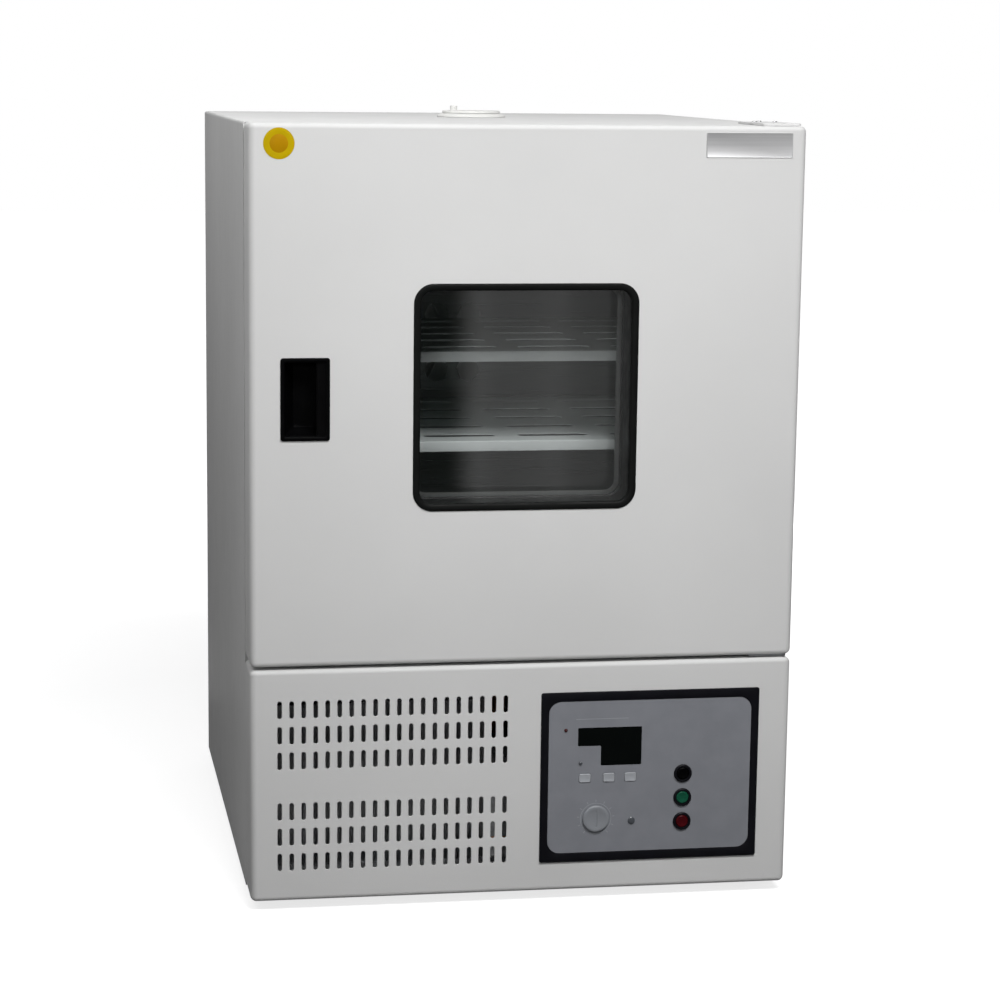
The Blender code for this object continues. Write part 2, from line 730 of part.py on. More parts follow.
def build_rear():
    tray(
        "rear_panel",
        (-INNER_HALF, REAR - REAR_FLANGE, DOOR_BOTTOM),
        (INNER_HALF, REAR, INNER_TOP),
        SHEET,
        "+Y",
        CASING_RADIUS,
        PAINT,
    )
    cover = tray(
        "rear_service_cover",
        (-INNER_HALF, REAR - REAR_FLANGE, BOTTOM),
        (INNER_HALF, REAR, DOOR_BOTTOM - FIT),
        SHEET,
        "+Y",
        CASING_RADIUS,
        PAINT,
    )
    sheet = REAR - REAR_FLANGE
    louvres = []
    for level in LOUVRE_LEVELS:
        for column in range(LOUVRE_COLUMNS):
            x = (column - (LOUVRE_COLUMNS - 1) / 2) * LOUVRE_PITCH + LOUVRE_OFFSET
            louvre = slot(x, FASCIA_MIDDLE + level, LOUVRE_WIDTH, LOUVRE_LENGTH, 2)
            louvres.append(prism([louvre], sheet - SHEET, sheet + 2 * SHEET, "Y"))
    cut(cover, merged(*louvres), inlet_body((0, 0), sheet - SHEET, sheet + 2 * SHEET))


def inlet_body(inset, low, high):
    """The inlet's moulded body between two planes, drawn in by an inset in width and in height."""
    half_x = INLET_WIDTH / 2 - INLET_BODY_INSET[0] - inset[0]
    half_z = INLET_HEIGHT / 2 - INLET_BODY_INSET[1] - inset[1]
    z = BOTTOM + INLET_Z
    corners = (INLET_X - half_x, low, z - half_z), (INLET_X + half_x, high, z + half_z)
    return ridge_block(*corners, "Y", INLET_BODY_RADIUS)


def build_inlet():
    """Mains socket for an appliance lead: a flange, a moulded body and a recess with three blades."""
    seat = REAR - REAR_FLANGE + SHEET + FIT
    back = seat - INLET_DEPTH
    x, z = INLET_X, BOTTOM + INLET_Z
    flange = ridge_block(
        (x - INLET_WIDTH / 2, seat, z - INLET_HEIGHT / 2),
        (x + INLET_WIDTH / 2, seat + INLET_FLANGE, z + INLET_HEIGHT / 2),
        "Y",
        INLET_RADIUS,
    )
    inlet = part("power_inlet", flange, BLACK)
    join(inlet, inlet_body((FIT, FIT), back, seat + INLET_FLANGE / 2))
    walls = [FIT + wall for wall in INLET_WALLS]
    cut(inlet, inlet_body(walls, back + INLET_WALLS[0], seat + 2 * INLET_FLANGE))
    half_x, half_z = INLET_BLADE[0] / 2, INLET_BLADE[1] / 2
    blades = []
    for dx, dz in INLET_BLADES:
        low = (x + dx - half_x, back + INLET_WALLS[0] / 2, z + dz - half_z)
        blades.append(block(low, (x + dx + half_x, seat - INLET_FLANGE, z + dz + half_z)))
    join(inlet, merged(*blades))


def build_insulation():
    low = (-INNER_HALF, FACE + SHEET + FIT, DOOR_BOTTOM + FIT)
    foam = part("chamber_insulation", block(low, (INNER_HALF, INNER_REAR, INNER_TOP), INNER_RADIUS), FOAM)
    room = LINER + FIT
    cavity = block(
        (-CHAMBER_HALF - room, low[1] - SHEET, CHAMBER_FLOOR - room),
        (CHAMBER_HALF + room, CHAMBER_REAR + room, CHAMBER_TOP + room),
    )
    shaft = rod((0, CHAMBER_REAR, FAN_HEIGHT), SHAFT_HOLE_RADIUS, WALL_REAR, "Y")
    deep = MOTOR_LENGTH + MOTOR_ROOM
    motor = rod((0, INNER_REAR - deep, FAN_HEIGHT), MOTOR_RADIUS + MOTOR_ROOM, deep + REAR_FLANGE, "Y", 24)
    vent = rod((0, VENT_Y, CHAMBER_TOP), VENT_TUBE_RADIUS + FIT, WALL_CEILING, "Z", 24)
    cut(foam, cavity, shaft, motor, vent, *floor_holes(DOOR_BOTTOM - SHEET, CHAMBER_FLOOR))


def build_liner():
    """Stainless chamber with rounded corners and a lip over the front frame."""
    lip_back = FACE - FIT
    width, height = 2 * (CHAMBER_HALF + LINER_LIP), CHAMBER_TOP - CHAMBER_FLOOR + 2 * LINER_LIP
    lip = rounded(0, CHAMBER_MIDDLE, width, height, LINER_RADIUS + LINER_LIP)
    liner = part("chamber_liner", prism([lip], lip_back - LINER, lip_back, "Y"), STEEL)
    outside = block(
        (-CHAMBER_HALF - LINER, lip_back - LINER / 2, CHAMBER_FLOOR - LINER),
        (CHAMBER_HALF + LINER, CHAMBER_REAR + LINER, CHAMBER_TOP + LINER),
        LINER_RADIUS,
        ("-Y",),
        LINER_SEGMENTS,
    )
    inside = block(
        (-CHAMBER_HALF, lip_back - 2 * LINER, CHAMBER_FLOOR),
        (CHAMBER_HALF, CHAMBER_REAR, CHAMBER_TOP),
        LINER_RADIUS - LINER,
        ("-Y",),
        LINER_SEGMENTS,
    )
    join(liner, outside)
    shaft = rod((0, CHAMBER_REAR - LINER, FAN_HEIGHT), SHAFT_HOLE_RADIUS, 4 * LINER, "Y")
    vent = rod((0, VENT_Y, CHAMBER_TOP - LINER), VENT_TUBE_RADIUS + FIT, 4 * LINER, "Z", 24)
    cut(liner, inside, shaft, vent, *floor_holes(CHAMBER_FLOOR - 3 * LINER, CHAMBER_FLOOR + 2 * LINER))


def build_front_frame():
    """Painted frame between the casing and the chamber's mouth."""
    low = SEAM - FRAME_DROP
    inside = CHAMBER_HALF + LINER + FIT
    outer = [(-INNER_HALF, low), (INNER_HALF, low)]
    outer += arc(INNER_HALF - INNER_RADIUS, INNER_TOP - INNER_RADIUS, INNER_RADIUS, 0, 90, 3)
    outer += arc(INNER_RADIUS - INNER_HALF, INNER_TOP - INNER_RADIUS, INNER_RADIUS, 90, 180, 3)
    mouth = rounded(
        0,
        CHAMBER_MIDDLE,
        2 * inside,
        CHAMBER_TOP - CHAMBER_FLOOR + 2 * (LINER + FIT),
        LINER_RADIUS,
        LINER_SEGMENTS,
    )
    part("front_frame", prism([outer, mouth], FACE, FACE + SHEET, "Y"), PAINT)


def rack_ledges():
    """Heights of the ledges' upper faces, as many as the chamber takes."""
    first = CHAMBER_FLOOR + RACK_FIRST
    count = int((CHAMBER_TOP - RACK_TOP_ROOM - first) / RACK_PITCH) + 1
    return [first + index * RACK_PITCH for index in range(count)]


def build_racks():
    """A folded ladder of ledges on each side wall."""
    ledges = rack_ledges()
    wall = CHAMBER_HALF - FIT
    inner = wall - RACK_THICKNESS
    reach = inner - RACK_LEDGE
    low, high = ledges[0] - RACK_END, ledges[-1] + RACK_END
    outline = [(wall, low), (wall, high), (inner, high)]
    for z in reversed(ledges):
        outline += [(inner, z), (reach, z), (reach, z - RACK_THICKNESS), (inner, z - RACK_THICKNESS)]
    outline.append((inner, low))
    for side, sign in (("left", -1), ("right", 1)):
        ladder = [(sign * u, v) for u, v in outline]
        shape = prism([ladder], SHELF_FRONT, SHELF_FRONT + SHELF_DEPTH, "Y")
        part(f"shelf_rack_{side}", shape, STEEL)


def build_shelves():
    """Two folded sheets with rows of slots, on the ledges."""
    ledges = rack_ledges()
    front, back = SHELF_FRONT, SHELF_FRONT + SHELF_DEPTH
    half = CHAMBER_HALF - FIT - RACK_THICKNESS - SLIDE_FIT
    for name, ledge in zip(("shelf_lower", "shelf_upper"), SHELF_ON_LEDGE):
        z = ledges[ledge] + FIT
        top = z + SHELF_HEIGHT
        shelf = tray(name, (-half, front, z), (half, back, top), LINER, "-Z", 2 * LINER, STEEL)
        slots = []
        for row in range(SHELF_SLOT_ROWS):
            y = front + SHELF_MARGIN + row * (SHELF_DEPTH - 2 * SHELF_MARGIN) / (SHELF_SLOT_ROWS - 1)
            for column in range(SHELF_SLOT_COLUMNS):
                x = (column - (SHELF_SLOT_COLUMNS - 1) / 2) * SHELF_SLOT_PITCH
                hole = slot(x, y, SHELF_SLOT_LENGTH, SHELF_SLOT_WIDTH, 2)
                slots.append(prism([hole], top - 3 * LINER, top + LINER, "Z"))
        cut(shelf, merged(*slots))


def build_baffle():
    """Wall in front of the fan, with an air inlet in its middle and outlets at top and bottom."""
    front = BAFFLE_BACK - LINER
    width, height = 2 * (CHAMBER_HALF - FIT), CHAMBER_TOP - CHAMBER_FLOOR - 2 * FIT
    outlines = [rounded(0, CHAMBER_MIDDLE, width, height, LINER_RADIUS, LINER_SEGMENTS)]
    for index in range(BAFFLE_HOLES):
        angle = 2 * math.pi * index / BAFFLE_HOLES
        place = (BAFFLE_RING * math.cos(angle), FAN_HEIGHT + BAFFLE_RING * math.sin(angle))
        outlines.append(circle(*place, BAFFLE_HOLE_RADIUS, 8))
    outlines.append(circle(0, FAN_HEIGHT, BAFFLE_HOLE_RADIUS, 8))
    for z in (CHAMBER_FLOOR + OUTLET_INSET, CHAMBER_TOP - OUTLET_INSET):
        for index in range(OUTLETS):
            x = (index - (OUTLETS - 1) / 2) * OUTLET_PITCH
            outlines.append(slot(x, z, OUTLET_LENGTH, OUTLET_HEIGHT, 2))
    probe_x, probe_z = probe_place()
    outlines.append(circle(probe_x, probe_z, PROBE_RADIUS + FIT, 8))
    part("air_baffle", prism(outlines, front, BAFFLE_BACK, "Y"), STEEL)


def probe_place():
    return -PROBE_OFFSET, CHAMBER_TOP - PROBE_DROP


def build_probe():
    """Temperature sensor through the baffle, with a collar on its front."""
    x, z = probe_place()
    front = BAFFLE_BACK - LINER - FIT
    sheath = rod((x, front - PROBE_LENGTH, z), PROBE_RADIUS, PROBE_LENGTH + PROBE_TAIL, "Y", 12)
    probe = part("temperature_probe", sheath, STEEL)
    join(probe, rod((x, front - PROBE_COLLAR, z), 2 * PROBE_RADIUS, PROBE_COLLAR, "Y", 12))


def build_evaporator():
    """Finned block on the chamber's rear wall, with a bent tube at each end."""
    y, z = COIL_Y, COIL_FLOOR
    comb = fins_outline(EVAPORATOR_WIDTH, EVAPORATOR_DEPTH, EVAPORATOR_FINS, EVAPORATOR_SPINE, 0, y)
    coil = part("evaporator", prism([comb], z, z + EVAPORATOR_HEIGHT, "Z"), ALUMINIUM)
    bends = []
    for side in (-1, 1):
        end = side * (EVAPORATOR_WIDTH / 2 - FIN)
        reach = end + side * EVAPORATOR_BEND_REACH
        for leg in EVAPORATOR_BENDS:
            low, high = z + leg, z + leg + EVAPORATOR_BEND_RISE
            points = [(end, y, low), (reach, y, low), (reach, y, high), (end, y, high)]
            bends.append(pipe(points, EVAPORATOR_TUBE, 1, 1))
    join(coil, merged(*bends), solver="MANIFOLD")


def build_heater():
    """Sheathed heating loop round the fan, its ends through the rear wall."""
    y = CHAMBER_REAR - HEATER_SETBACK
    end = CHAMBER_REAR - FIT
    loop = arc(0, FAN_HEIGHT, HEATER_RADIUS, *HEATER_ARC, 14)
    points = [(u, y, v) for u, v in loop]
    points = [(loop[0][0], end, loop[0][1])] + points + [(loop[-1][0], end, loop[-1][1])]
    part("heater_element", pipe(points, HEATER_TUBE, 1, 0), STEEL)


def build_fan_motor():
    front = INNER_REAR - MOTOR_LENGTH
    case = rod((0, front, FAN_HEIGHT), MOTOR_RADIUS, MOTOR_LENGTH, "Y", 24)
    motor = part("circulation_fan_motor", case, GALVANISED)
    depth = SHAFT_IN_MOTOR + MOTOR_ROOM
    cut(motor, rod((0, front - depth, FAN_HEIGHT), FAN_SHAFT_RADIUS + FIT, 2 * depth, "Y", 16))


def build_fan():
    """Radial impeller on its shaft."""
    back = CHAMBER_REAR - FAN_SETBACK
    shaft_end = INNER_REAR - MOTOR_LENGTH + SHAFT_IN_MOTOR
    disc = rod((0, back - FAN_DISC, FAN_HEIGHT), FAN_RADIUS, FAN_DISC, "Y", 32)
    fan = part("circulation_fan", disc, ALUMINIUM)
    hub = rod((0, back - FAN_HUB_LENGTH, FAN_HEIGHT), FAN_HUB_RADIUS, FAN_HUB_LENGTH - FAN_DISC / 2, "Y", 16)
    inside = FAN_HUB_LENGTH / 2
    shaft = rod((0, back - inside, FAN_HEIGHT), FAN_SHAFT_RADIUS, shaft_end - back + inside, "Y", 16)
    join(fan, hub, shaft)
    blades = []
    for index in range(FAN_BLADES):
        root = FAN_DISC / 2
        blade = block((FAN_BLADE_START, -FAN_DEPTH, -BLADE / 2), (FAN_RADIUS - BLADE, -root, BLADE / 2))
        blade.transform(Matrix.Rotation(math.radians(FAN_BLADE_TURN), 4, "Y"))
        blade.transform(Matrix.Rotation(2 * math.pi * index / FAN_BLADES, 4, "Y"))
        blade.transform(Matrix.Translation((0, back, FAN_HEIGHT)))
        blades.append(blade)
    join(fan, merged(*blades))
    pivot(fan, (0, back, FAN_HEIGHT))


def build_drain():
    """Tube from the chamber's floor to the condensate pan, hung on its flange."""
    top = CHAMBER_FLOOR + FIT
    width, depth, height = CONDENSATE_PAN
    floor = PAN_FLOOR + FIT
    low = floor + height + DRAIN_DROP
    place = (CONDENSATE_X, CONDENSATE_Y)
    flange = rod((*place, top), DRAIN_RADIUS + DRAIN_FLANGE, DRAIN_FLANGE_THICKNESS, "Z", 16)
    drain = part("drain_tube", flange, WHITE_PLASTIC)
    join(drain, rod((*place, low), DRAIN_RADIUS, top - low + DRAIN_FLANGE_THICKNESS / 2, "Z", 16))
    bore = DRAIN_RADIUS - DRAIN_WALL
    cut(drain, rod((*place, low - DRAIN_DROP), bore, top - low + 4 * DRAIN_DROP, "Z", 12))
    tray(
        "condensate_pan",
        (CONDENSATE_X - width / 2, CONDENSATE_Y - depth / 2, floor),
        (CONDENSATE_X + width / 2, CONDENSATE_Y + depth / 2, floor + height),
        CONDENSATE_WALL,
        "+Z",
        CONDENSATE_RADIUS,
        WHITE_PLASTIC,
    )


def turned(profile, segments):
    """A closed shape turned about Z, from points (radius, height) that run down its outer side."""
    bm = bmesh.new()
    rows = []
    for radius, height in profile:
        ring = circle(0, 0, radius, segments) if radius > 0 else [(0, 0)] * segments
        rows.append([bm.verts.new((x, y, height)) for x, y in ring])
    for upper, lower in zip(rows, rows[1:]):
        for index in range(segments):
            after = (index + 1) % segments
            bm.faces.new((lower[index], lower[after], upper[after], upper[index]))
    bmesh.ops.remove_doubles(bm, verts=bm.verts, dist=WELD)
    return bm


def build_compressor():
    """Hermetic compressor: a domed shell on a foot plate with rubber grommets."""
    floor = PAN_FLOOR + FIT
    base = floor + GROMMET_HEIGHT
    top = base + COMPRESSOR_HEIGHT
    seam = base + COMPRESSOR_SEAM
    radius = COMPRESSOR_RADIUS
    bottom, wall, band_foot = [share * radius for share in COMPRESSOR_SHARES]
    bend_low, bend_high = COMPRESSOR_BEND
    profile = [(0, top)]
    for angle in COMPRESSOR_DOME:
        profile.append((wall * math.sin(angle), seam + (top - seam) * math.cos(angle)))
    for side in (1, -1):
        band = [(band_foot, seam + side * (COMPRESSOR_BAND + COMPRESSOR_BAND_SLOPE))]
        band.append((radius, seam + side * COMPRESSOR_BAND))
        profile += band[::side]
    profile += [(wall, base + bend_high), (bottom, base + bend_low), (0, base)]
    shell = turned(profile, 18)
    shell.transform(Matrix.Translation((COMPRESSOR_X, COMPRESSOR_Y, 0)))
    compressor = part("compressor", shell, ENAMEL)
    foot_x, foot_y = COMPRESSOR_FEET
    reach_x, reach_y = foot_x + COMPRESSOR_PLATE_LAP, foot_y + COMPRESSOR_PLATE_LAP
    low = base + FIT
    plate = block(
        (COMPRESSOR_X - reach_x, COMPRESSOR_Y - reach_y, low),
        (COMPRESSOR_X + reach_x, COMPRESSOR_Y + reach_y, low + COMPRESSOR_PLATE),
    )
    grommets = []
    for side_x in (-1, 1):
        for side_y in (-1, 1):
            place = (COMPRESSOR_X + side_x * foot_x, COMPRESSOR_Y + side_y * foot_y, floor)
            grommets.append(rod(place, GROMMET_RADIUS, low + COMPRESSOR_PLATE / 2 - floor, "Z", 12))
    root = top - PORT_LENGTH
    stubs = [rod((*port, root), PORT_RADIUS, PORT_LENGTH, "Z", 12) for port in compressor_ports()]
    join(compressor, plate, merged(*grommets), merged(*stubs))


def compressor_ports():
    """Places of the suction and discharge stubs."""
    return [(COMPRESSOR_X + x, COMPRESSOR_Y + y) for x, y in (SUCTION_PORT, DISCHARGE_PORT)]


def condenser_box():
    """Front, back and underside of the condenser."""
    front = FACE + CONDENSER_SETBACK
    return front, front + CONDENSER_DEPTH, PAN_FLOOR + FIT


def build_condenser():
    front, back, floor = condenser_box()
    middle = (front + back) / 2
    size = (CONDENSER_WIDTH, CONDENSER_DEPTH)
    comb = fins_outline(*size, CONDENSER_FINS, CONDENSER_SPINE, CONDENSER_X, middle)
    part("condenser", prism([comb], floor, floor + CONDENSER_HEIGHT, "Z"), ALUMINIUM)


def build_condenser_shroud():
    """Plate and collar behind the condenser, with the fan's motor on three arms."""
    _, back, floor = condenser_box()
    x, z = CONDENSER_X, floor + CONDENSER_HEIGHT / 2
    seat = back + FIT
    ring = COOLER_FAN_RADIUS + SHROUD_GAP
    outline = rounded(x, z, CONDENSER_WIDTH, CONDENSER_HEIGHT, SHROUD_GAP, 2)
    plate = prism([outline, circle(x, z, ring, 28)], seat, seat + SHROUD_SHEET, "Y")
    shroud = part("condenser_fan_shroud", plate, GALVANISED)
    rims = [circle(x, z, ring + 2 * SHROUD_SHEET, 28), circle(x, z, ring + SHROUD_SHEET / 2, 28)]
    join(shroud, prism(rims, seat + SHROUD_SHEET / 2, seat + SHROUD_DEPTH, "Y"))
    motor_front = cooler_motor_front()
    arms = []
    for angle in (90, 210, 330):
        low = (COOLER_MOTOR_RADIUS / 2, 0, -SHROUD_ARM_WIDTH / 2)
        arm = block(low, (ring + SHROUD_SHEET, SHROUD_ARM, SHROUD_ARM_WIDTH / 2))
        arm.transform(Matrix.Rotation(math.radians(angle), 4, "Y"))
        arm.transform(Matrix.Translation((x, motor_front, z)))
        arms.append(arm)
    motor = rod((x, motor_front, z), COOLER_MOTOR_RADIUS, COOLER_MOTOR_LENGTH, "Y", 20)
    join(shroud, *arms, motor)
    bore = COOLER_SHAFT_LENGTH + COOLER_MOTOR_GAP
    cut(shroud, rod((x, motor_front - bore, z), COOLER_SHAFT_RADIUS + 2 * FIT, 2 * bore, "Y", 12))


def cooler_motor_front():
    """Plane of the arms, whose backs lie in the plane of the collar's rim."""
    back = condenser_box()[1]
    return back + FIT + SHROUD_DEPTH - SHROUD_ARM


def build_condenser_fan():
    """Axial fan in the shroud's collar."""
    floor = condenser_box()[2]
    x, z = CONDENSER_X, floor + CONDENSER_HEIGHT / 2
    back = cooler_motor_front() - COOLER_MOTOR_GAP
    hub = rod((x, back - COOLER_HUB_LENGTH, z), COOLER_HUB_RADIUS, COOLER_HUB_LENGTH, "Y", 20)
    fan = part("condenser_fan", hub, BLACK)
    shaft = rod((x, back - BLADE, z), COOLER_SHAFT_RADIUS, BLADE + COOLER_SHAFT_LENGTH, "Y", 12)
    blades = []
    for index in range(COOLER_BLADES):
        low = (COOLER_HUB_RADIUS / 2, -BLADE / 2, -COOLER_BLADE_WIDTH / 2)
        blade = block(low, (COOLER_FAN_RADIUS - BLADE / 2, BLADE / 2, COOLER_BLADE_WIDTH / 2))
        blade.transform(Matrix.Rotation(math.radians(COOLER_BLADE_TURN), 4, "X"))
        blade.transform(Matrix.Rotation(2 * math.pi * index / COOLER_BLADES, 4, "Y"))
        blade.transform(Matrix.Translation((x, back - COOLER_HUB_LENGTH / 2, z)))
        blades.append(blade)
    join(fan, shaft, merged(*blades))
    pivot(fan, (x, back, z))


def build_lines():
    """Refrigerant lines between compressor, condenser and evaporator."""
    suction, discharge = compressor_ports()
    front, back, floor = condenser_box()
    port_top = PAN_FLOOR + FIT + GROMMET_HEIGHT + COMPRESSOR_HEIGHT + FIT
    high = port_top + SUCTION_RISE
    x = LINE_PORT_X + SUCTION_SIDE
    suction_points = [
        (*suction, port_top),
        (*suction, high),
        (x, LINE_PORT_Y, high),
        (x, LINE_PORT_Y, (CHAMBER_FLOOR + COIL_FLOOR) / 2),
        (x, COIL_Y, COIL_FLOOR - FIT - SUCTION_RADIUS),
    ]
    part("suction_line", pipe(suction_points, SUCTION_RADIUS, 1, 4), COPPER)
    end = CONDENSER_X + CONDENSER_WIDTH / 2 + FIT
    middle_y = (front + back) / 2
    low, level = [floor + port for port in CONDENSER_PORTS]
    rise = port_top + DISCHARGE_RISE
    discharge_points = [
        (*discharge, port_top),
        (*discharge, rise),
        (discharge[0], middle_y, rise),
        (discharge[0], middle_y, level),
        (end, middle_y, level),
    ]
    part("discharge_line", pipe(discharge_points, LIQUID_RADIUS, 1, 4), COPPER)
    upright = (end + discharge[0]) / 2
    over = high + LIQUID_RISE
    x = LINE_PORT_X + LIQUID_SIDE
    liquid_points = [
        (end, middle_y, low),
        (upright, middle_y, low),
        (upright, LIQUID_Y, low),
        (upright, LIQUID_Y, over),
        (x, LINE_PORT_Y - LIQUID_SIDE, over),
        (x, LINE_PORT_Y, (CHAMBER_FLOOR + COIL_FLOOR) / 2),
        (x, COIL_Y, COIL_FLOOR - FIT - LIQUID_RADIUS),
    ]
    liquid = part("liquid_line", pipe(liquid_points, LIQUID_RADIUS, 1, 3), COPPER)
    profile = [(0, DRIER_LENGTH), (2 * LIQUID_RADIUS, DRIER_LENGTH)]
    profile.append((DRIER_RADIUS, DRIER_LENGTH - DRIER_TAPER))
    profile += [(DRIER_RADIUS, DRIER_TAPER), (2 * LIQUID_RADIUS, 0), (0, 0)]
    drier = turned(profile, 12)
    drier.transform(Matrix.Translation((upright, LIQUID_Y, low + DRIER_LENGTH)))
    join(liquid, drier)


def build_fascia():
    """Lower front panel: a folded tray with a field of slots and a hole for the controls."""
    back = FACE - FIT
    fascia = tray(
        "lower_fascia",
        (-HALF, FRONT, BOTTOM),
        (HALF, back, SEAM),
        SHEET,
        "+Y",
        DOOR_EDGE_RADIUS,
        PAINT,
        3,
    )
    slots = []
    first = GRILLE_INSET - HALF
    columns = int((PANEL_X - PANEL_WIDTH / 2 - GRILLE_GAP - first) / SLOT_PITCH_X) + 1
    for column in range(columns):
        x = first + column * SLOT_PITCH_X
        for row in SLOT_ROWS:
            hole = slot(x, FASCIA_MIDDLE + row * SLOT_PITCH_Z, SLOT_WIDTH, SLOT_LENGTH)
            slots.append(prism([hole], FRONT - SHEET, FRONT + 2 * SHEET, "Y"))
    lap = 2 * PANEL_LAP
    opening = prism(
        [rounded(PANEL_X, FASCIA_MIDDLE, PANEL_WIDTH - lap, PANEL_HEIGHT - lap, PANEL_CORNER, 2)],
        FRONT - SHEET,
        FRONT + 2 * SHEET,
        "Y",
    )
    half = HINGE_PLATE_WIDTH / 2 + FIT
    notch = block(
        (hinge_plate_x() - half, back - HINGE_PLATE - 2 * FIT - FIT, SEAM - 2 * SHEET),
        (hinge_plate_x() + half, back + SHEET, SEAM + SHEET),
    )
    cut(fascia, merged(*slots), opening, notch)


def hinge_plate_x():
    return HALF - HINGE_PLATE_INSET - HINGE_PLATE_WIDTH / 2


def build_hinge_brackets():
    x = hinge_plate_x()
    half = HINGE_PLATE_WIDTH / 2
    low = TOP + FIT
    top = ridge_block(
        (x - half, HINGE_Y - HINGE_PLATE_REACH, low),
        (x + half, FACE + HINGE_PLATE_GRIP, low + HINGE_PLATE),
        "Z",
        HINGE_PLATE_RADIUS,
    )
    bracket = part("hinge_bracket_top", top, PAINT)
    pin_low = TOP - HINGE_PIN_LENGTH
    pin_length = HINGE_PIN_LENGTH + FIT + HINGE_PLATE / 2
    join(bracket, rod((HINGE_X, HINGE_Y, pin_low), HINGE_PIN_RADIUS, pin_length, "Z", 16))
    room = (SEAM_GAP - HINGE_PLATE) / 2
    low = SEAM + room
    lower = ridge_block(
        (x - half, HINGE_Y - HINGE_PLATE_REACH, low),
        (x + half, FACE - FIT, low + HINGE_PLATE),
        "Z",
        HINGE_FOOT_RADIUS,
    )
    bracket = part("hinge_bracket_bottom", lower, GALVANISED)
    core = low + HINGE_PLATE / 2
    tab = block((x - half, FACE - FIT - HINGE_PLATE, SEAM - HINGE_TAB_DROP), (x + half, FACE - FIT, core))
    pin = rod((HINGE_X, HINGE_Y, core), HINGE_PIN_RADIUS, HINGE_PIN_LENGTH + SEAM_GAP / 2, "Z", 16)
    join(bracket, tab, pin)


def hinge_pin_room(radius, depth):
    """Holes for the two pins in the door's top and bottom."""
    return (
        rod((HINGE_X, HINGE_Y, TOP - depth), radius, 2 * depth, "Z", 16),
        rod((HINGE_X, HINGE_Y, DOOR_BOTTOM - depth), radius, 2 * depth, "Z", 16),
    )


def build_door(hinge):
    back = DOOR_BACK
    inside = HALF - SHEET - FIT
    low_z, high_z = DOOR_BOTTOM + SHEET + FIT, TOP - SHEET - FIT
    panel_front = back - SHEET
    made = []
    corners = (-HALF, FRONT, DOOR_BOTTOM), (HALF, back, TOP)
    shell = tray("door_shell", *corners, SHEET, "+Y", DOOR_EDGE_RADIUS, PAINT, 3)
    cut(
        shell,
        square(WINDOW_X, DOOR_MIDDLE, WINDOW_CUT, WINDOW_CUT_RADIUS, FRONT - SHEET, FRONT + 2 * SHEET),
        handle_block(HANDLE_BORDER - 2 * FIT, FRONT - SHEET, FRONT + 2 * SHEET),
        merged(*hinge_pin_room(HINGE_PIN_RADIUS + FIT, 4 * SHEET)),
    )
    made.append(shell)
    foam = part(
        "door_insulation",
        block(
            (-inside, FRONT + SHEET + FIT, low_z),
            (inside, panel_front - FIT, high_z),
            DOOR_EDGE_RADIUS - SHEET,
            ("+Y",),
        ),
        FOAM,
    )
    cut(
        foam,
        square(WINDOW_X, DOOR_MIDDLE, GLASS_SIZE + 2 * FIT, WINDOW_RADIUS, FRONT, back),
        handle_block(HANDLE_BORDER - 3 * FIT, FRONT, FRONT + HANDLE_DEPTH + FIT + SHEET),
        merged(*hinge_pin_room(HINGE_PIN_RADIUS + SLIDE_FIT, HINGE_PIN_LENGTH + SEAM_GAP)),
    )
    made.append(foam)
    inner_window = GLASS_SIZE - 2 * INNER_WINDOW_LAP
    panel = prism(
        [
            rounded(0, DOOR_MIDDLE, 2 * inside, high_z - low_z, DOOR_EDGE_RADIUS - SHEET, 3),
            rounded(WINDOW_X, DOOR_MIDDLE, inner_window, inner_window, WINDOW_RADIUS - INNER_WINDOW_LAP),
        ],
        panel_front,
        back,
        "Y",
    )
    made.append(part("door_inner_panel", panel, STEEL))
    made.append(build_gasket())
    made += build_window(panel_front)
    made.append(build_handle())
    for piece in made:
        piece.parent = hinge
        piece.matrix_parent_inverse = hinge.matrix_world.inverted()


def build_gasket():
    """Magnetic seal between the door and the front frame."""
    width, height = WIDTH - 2 * GASKET_INSET, TOP - DOOR_BOTTOM - 2 * GASKET_INSET
    side = 2 * GASKET_WIDTH
    ring = prism(
        [
            rounded(0, DOOR_MIDDLE, width, height, GASKET_RADIUS),
            rounded(0, DOOR_MIDDLE, width - side, height - side, GASKET_INNER_RADIUS),
        ],
        DOOR_BACK + FIT,
        FACE - FIT,
        "Y",
    )
    return part("door_gasket", ring, RUBBER)


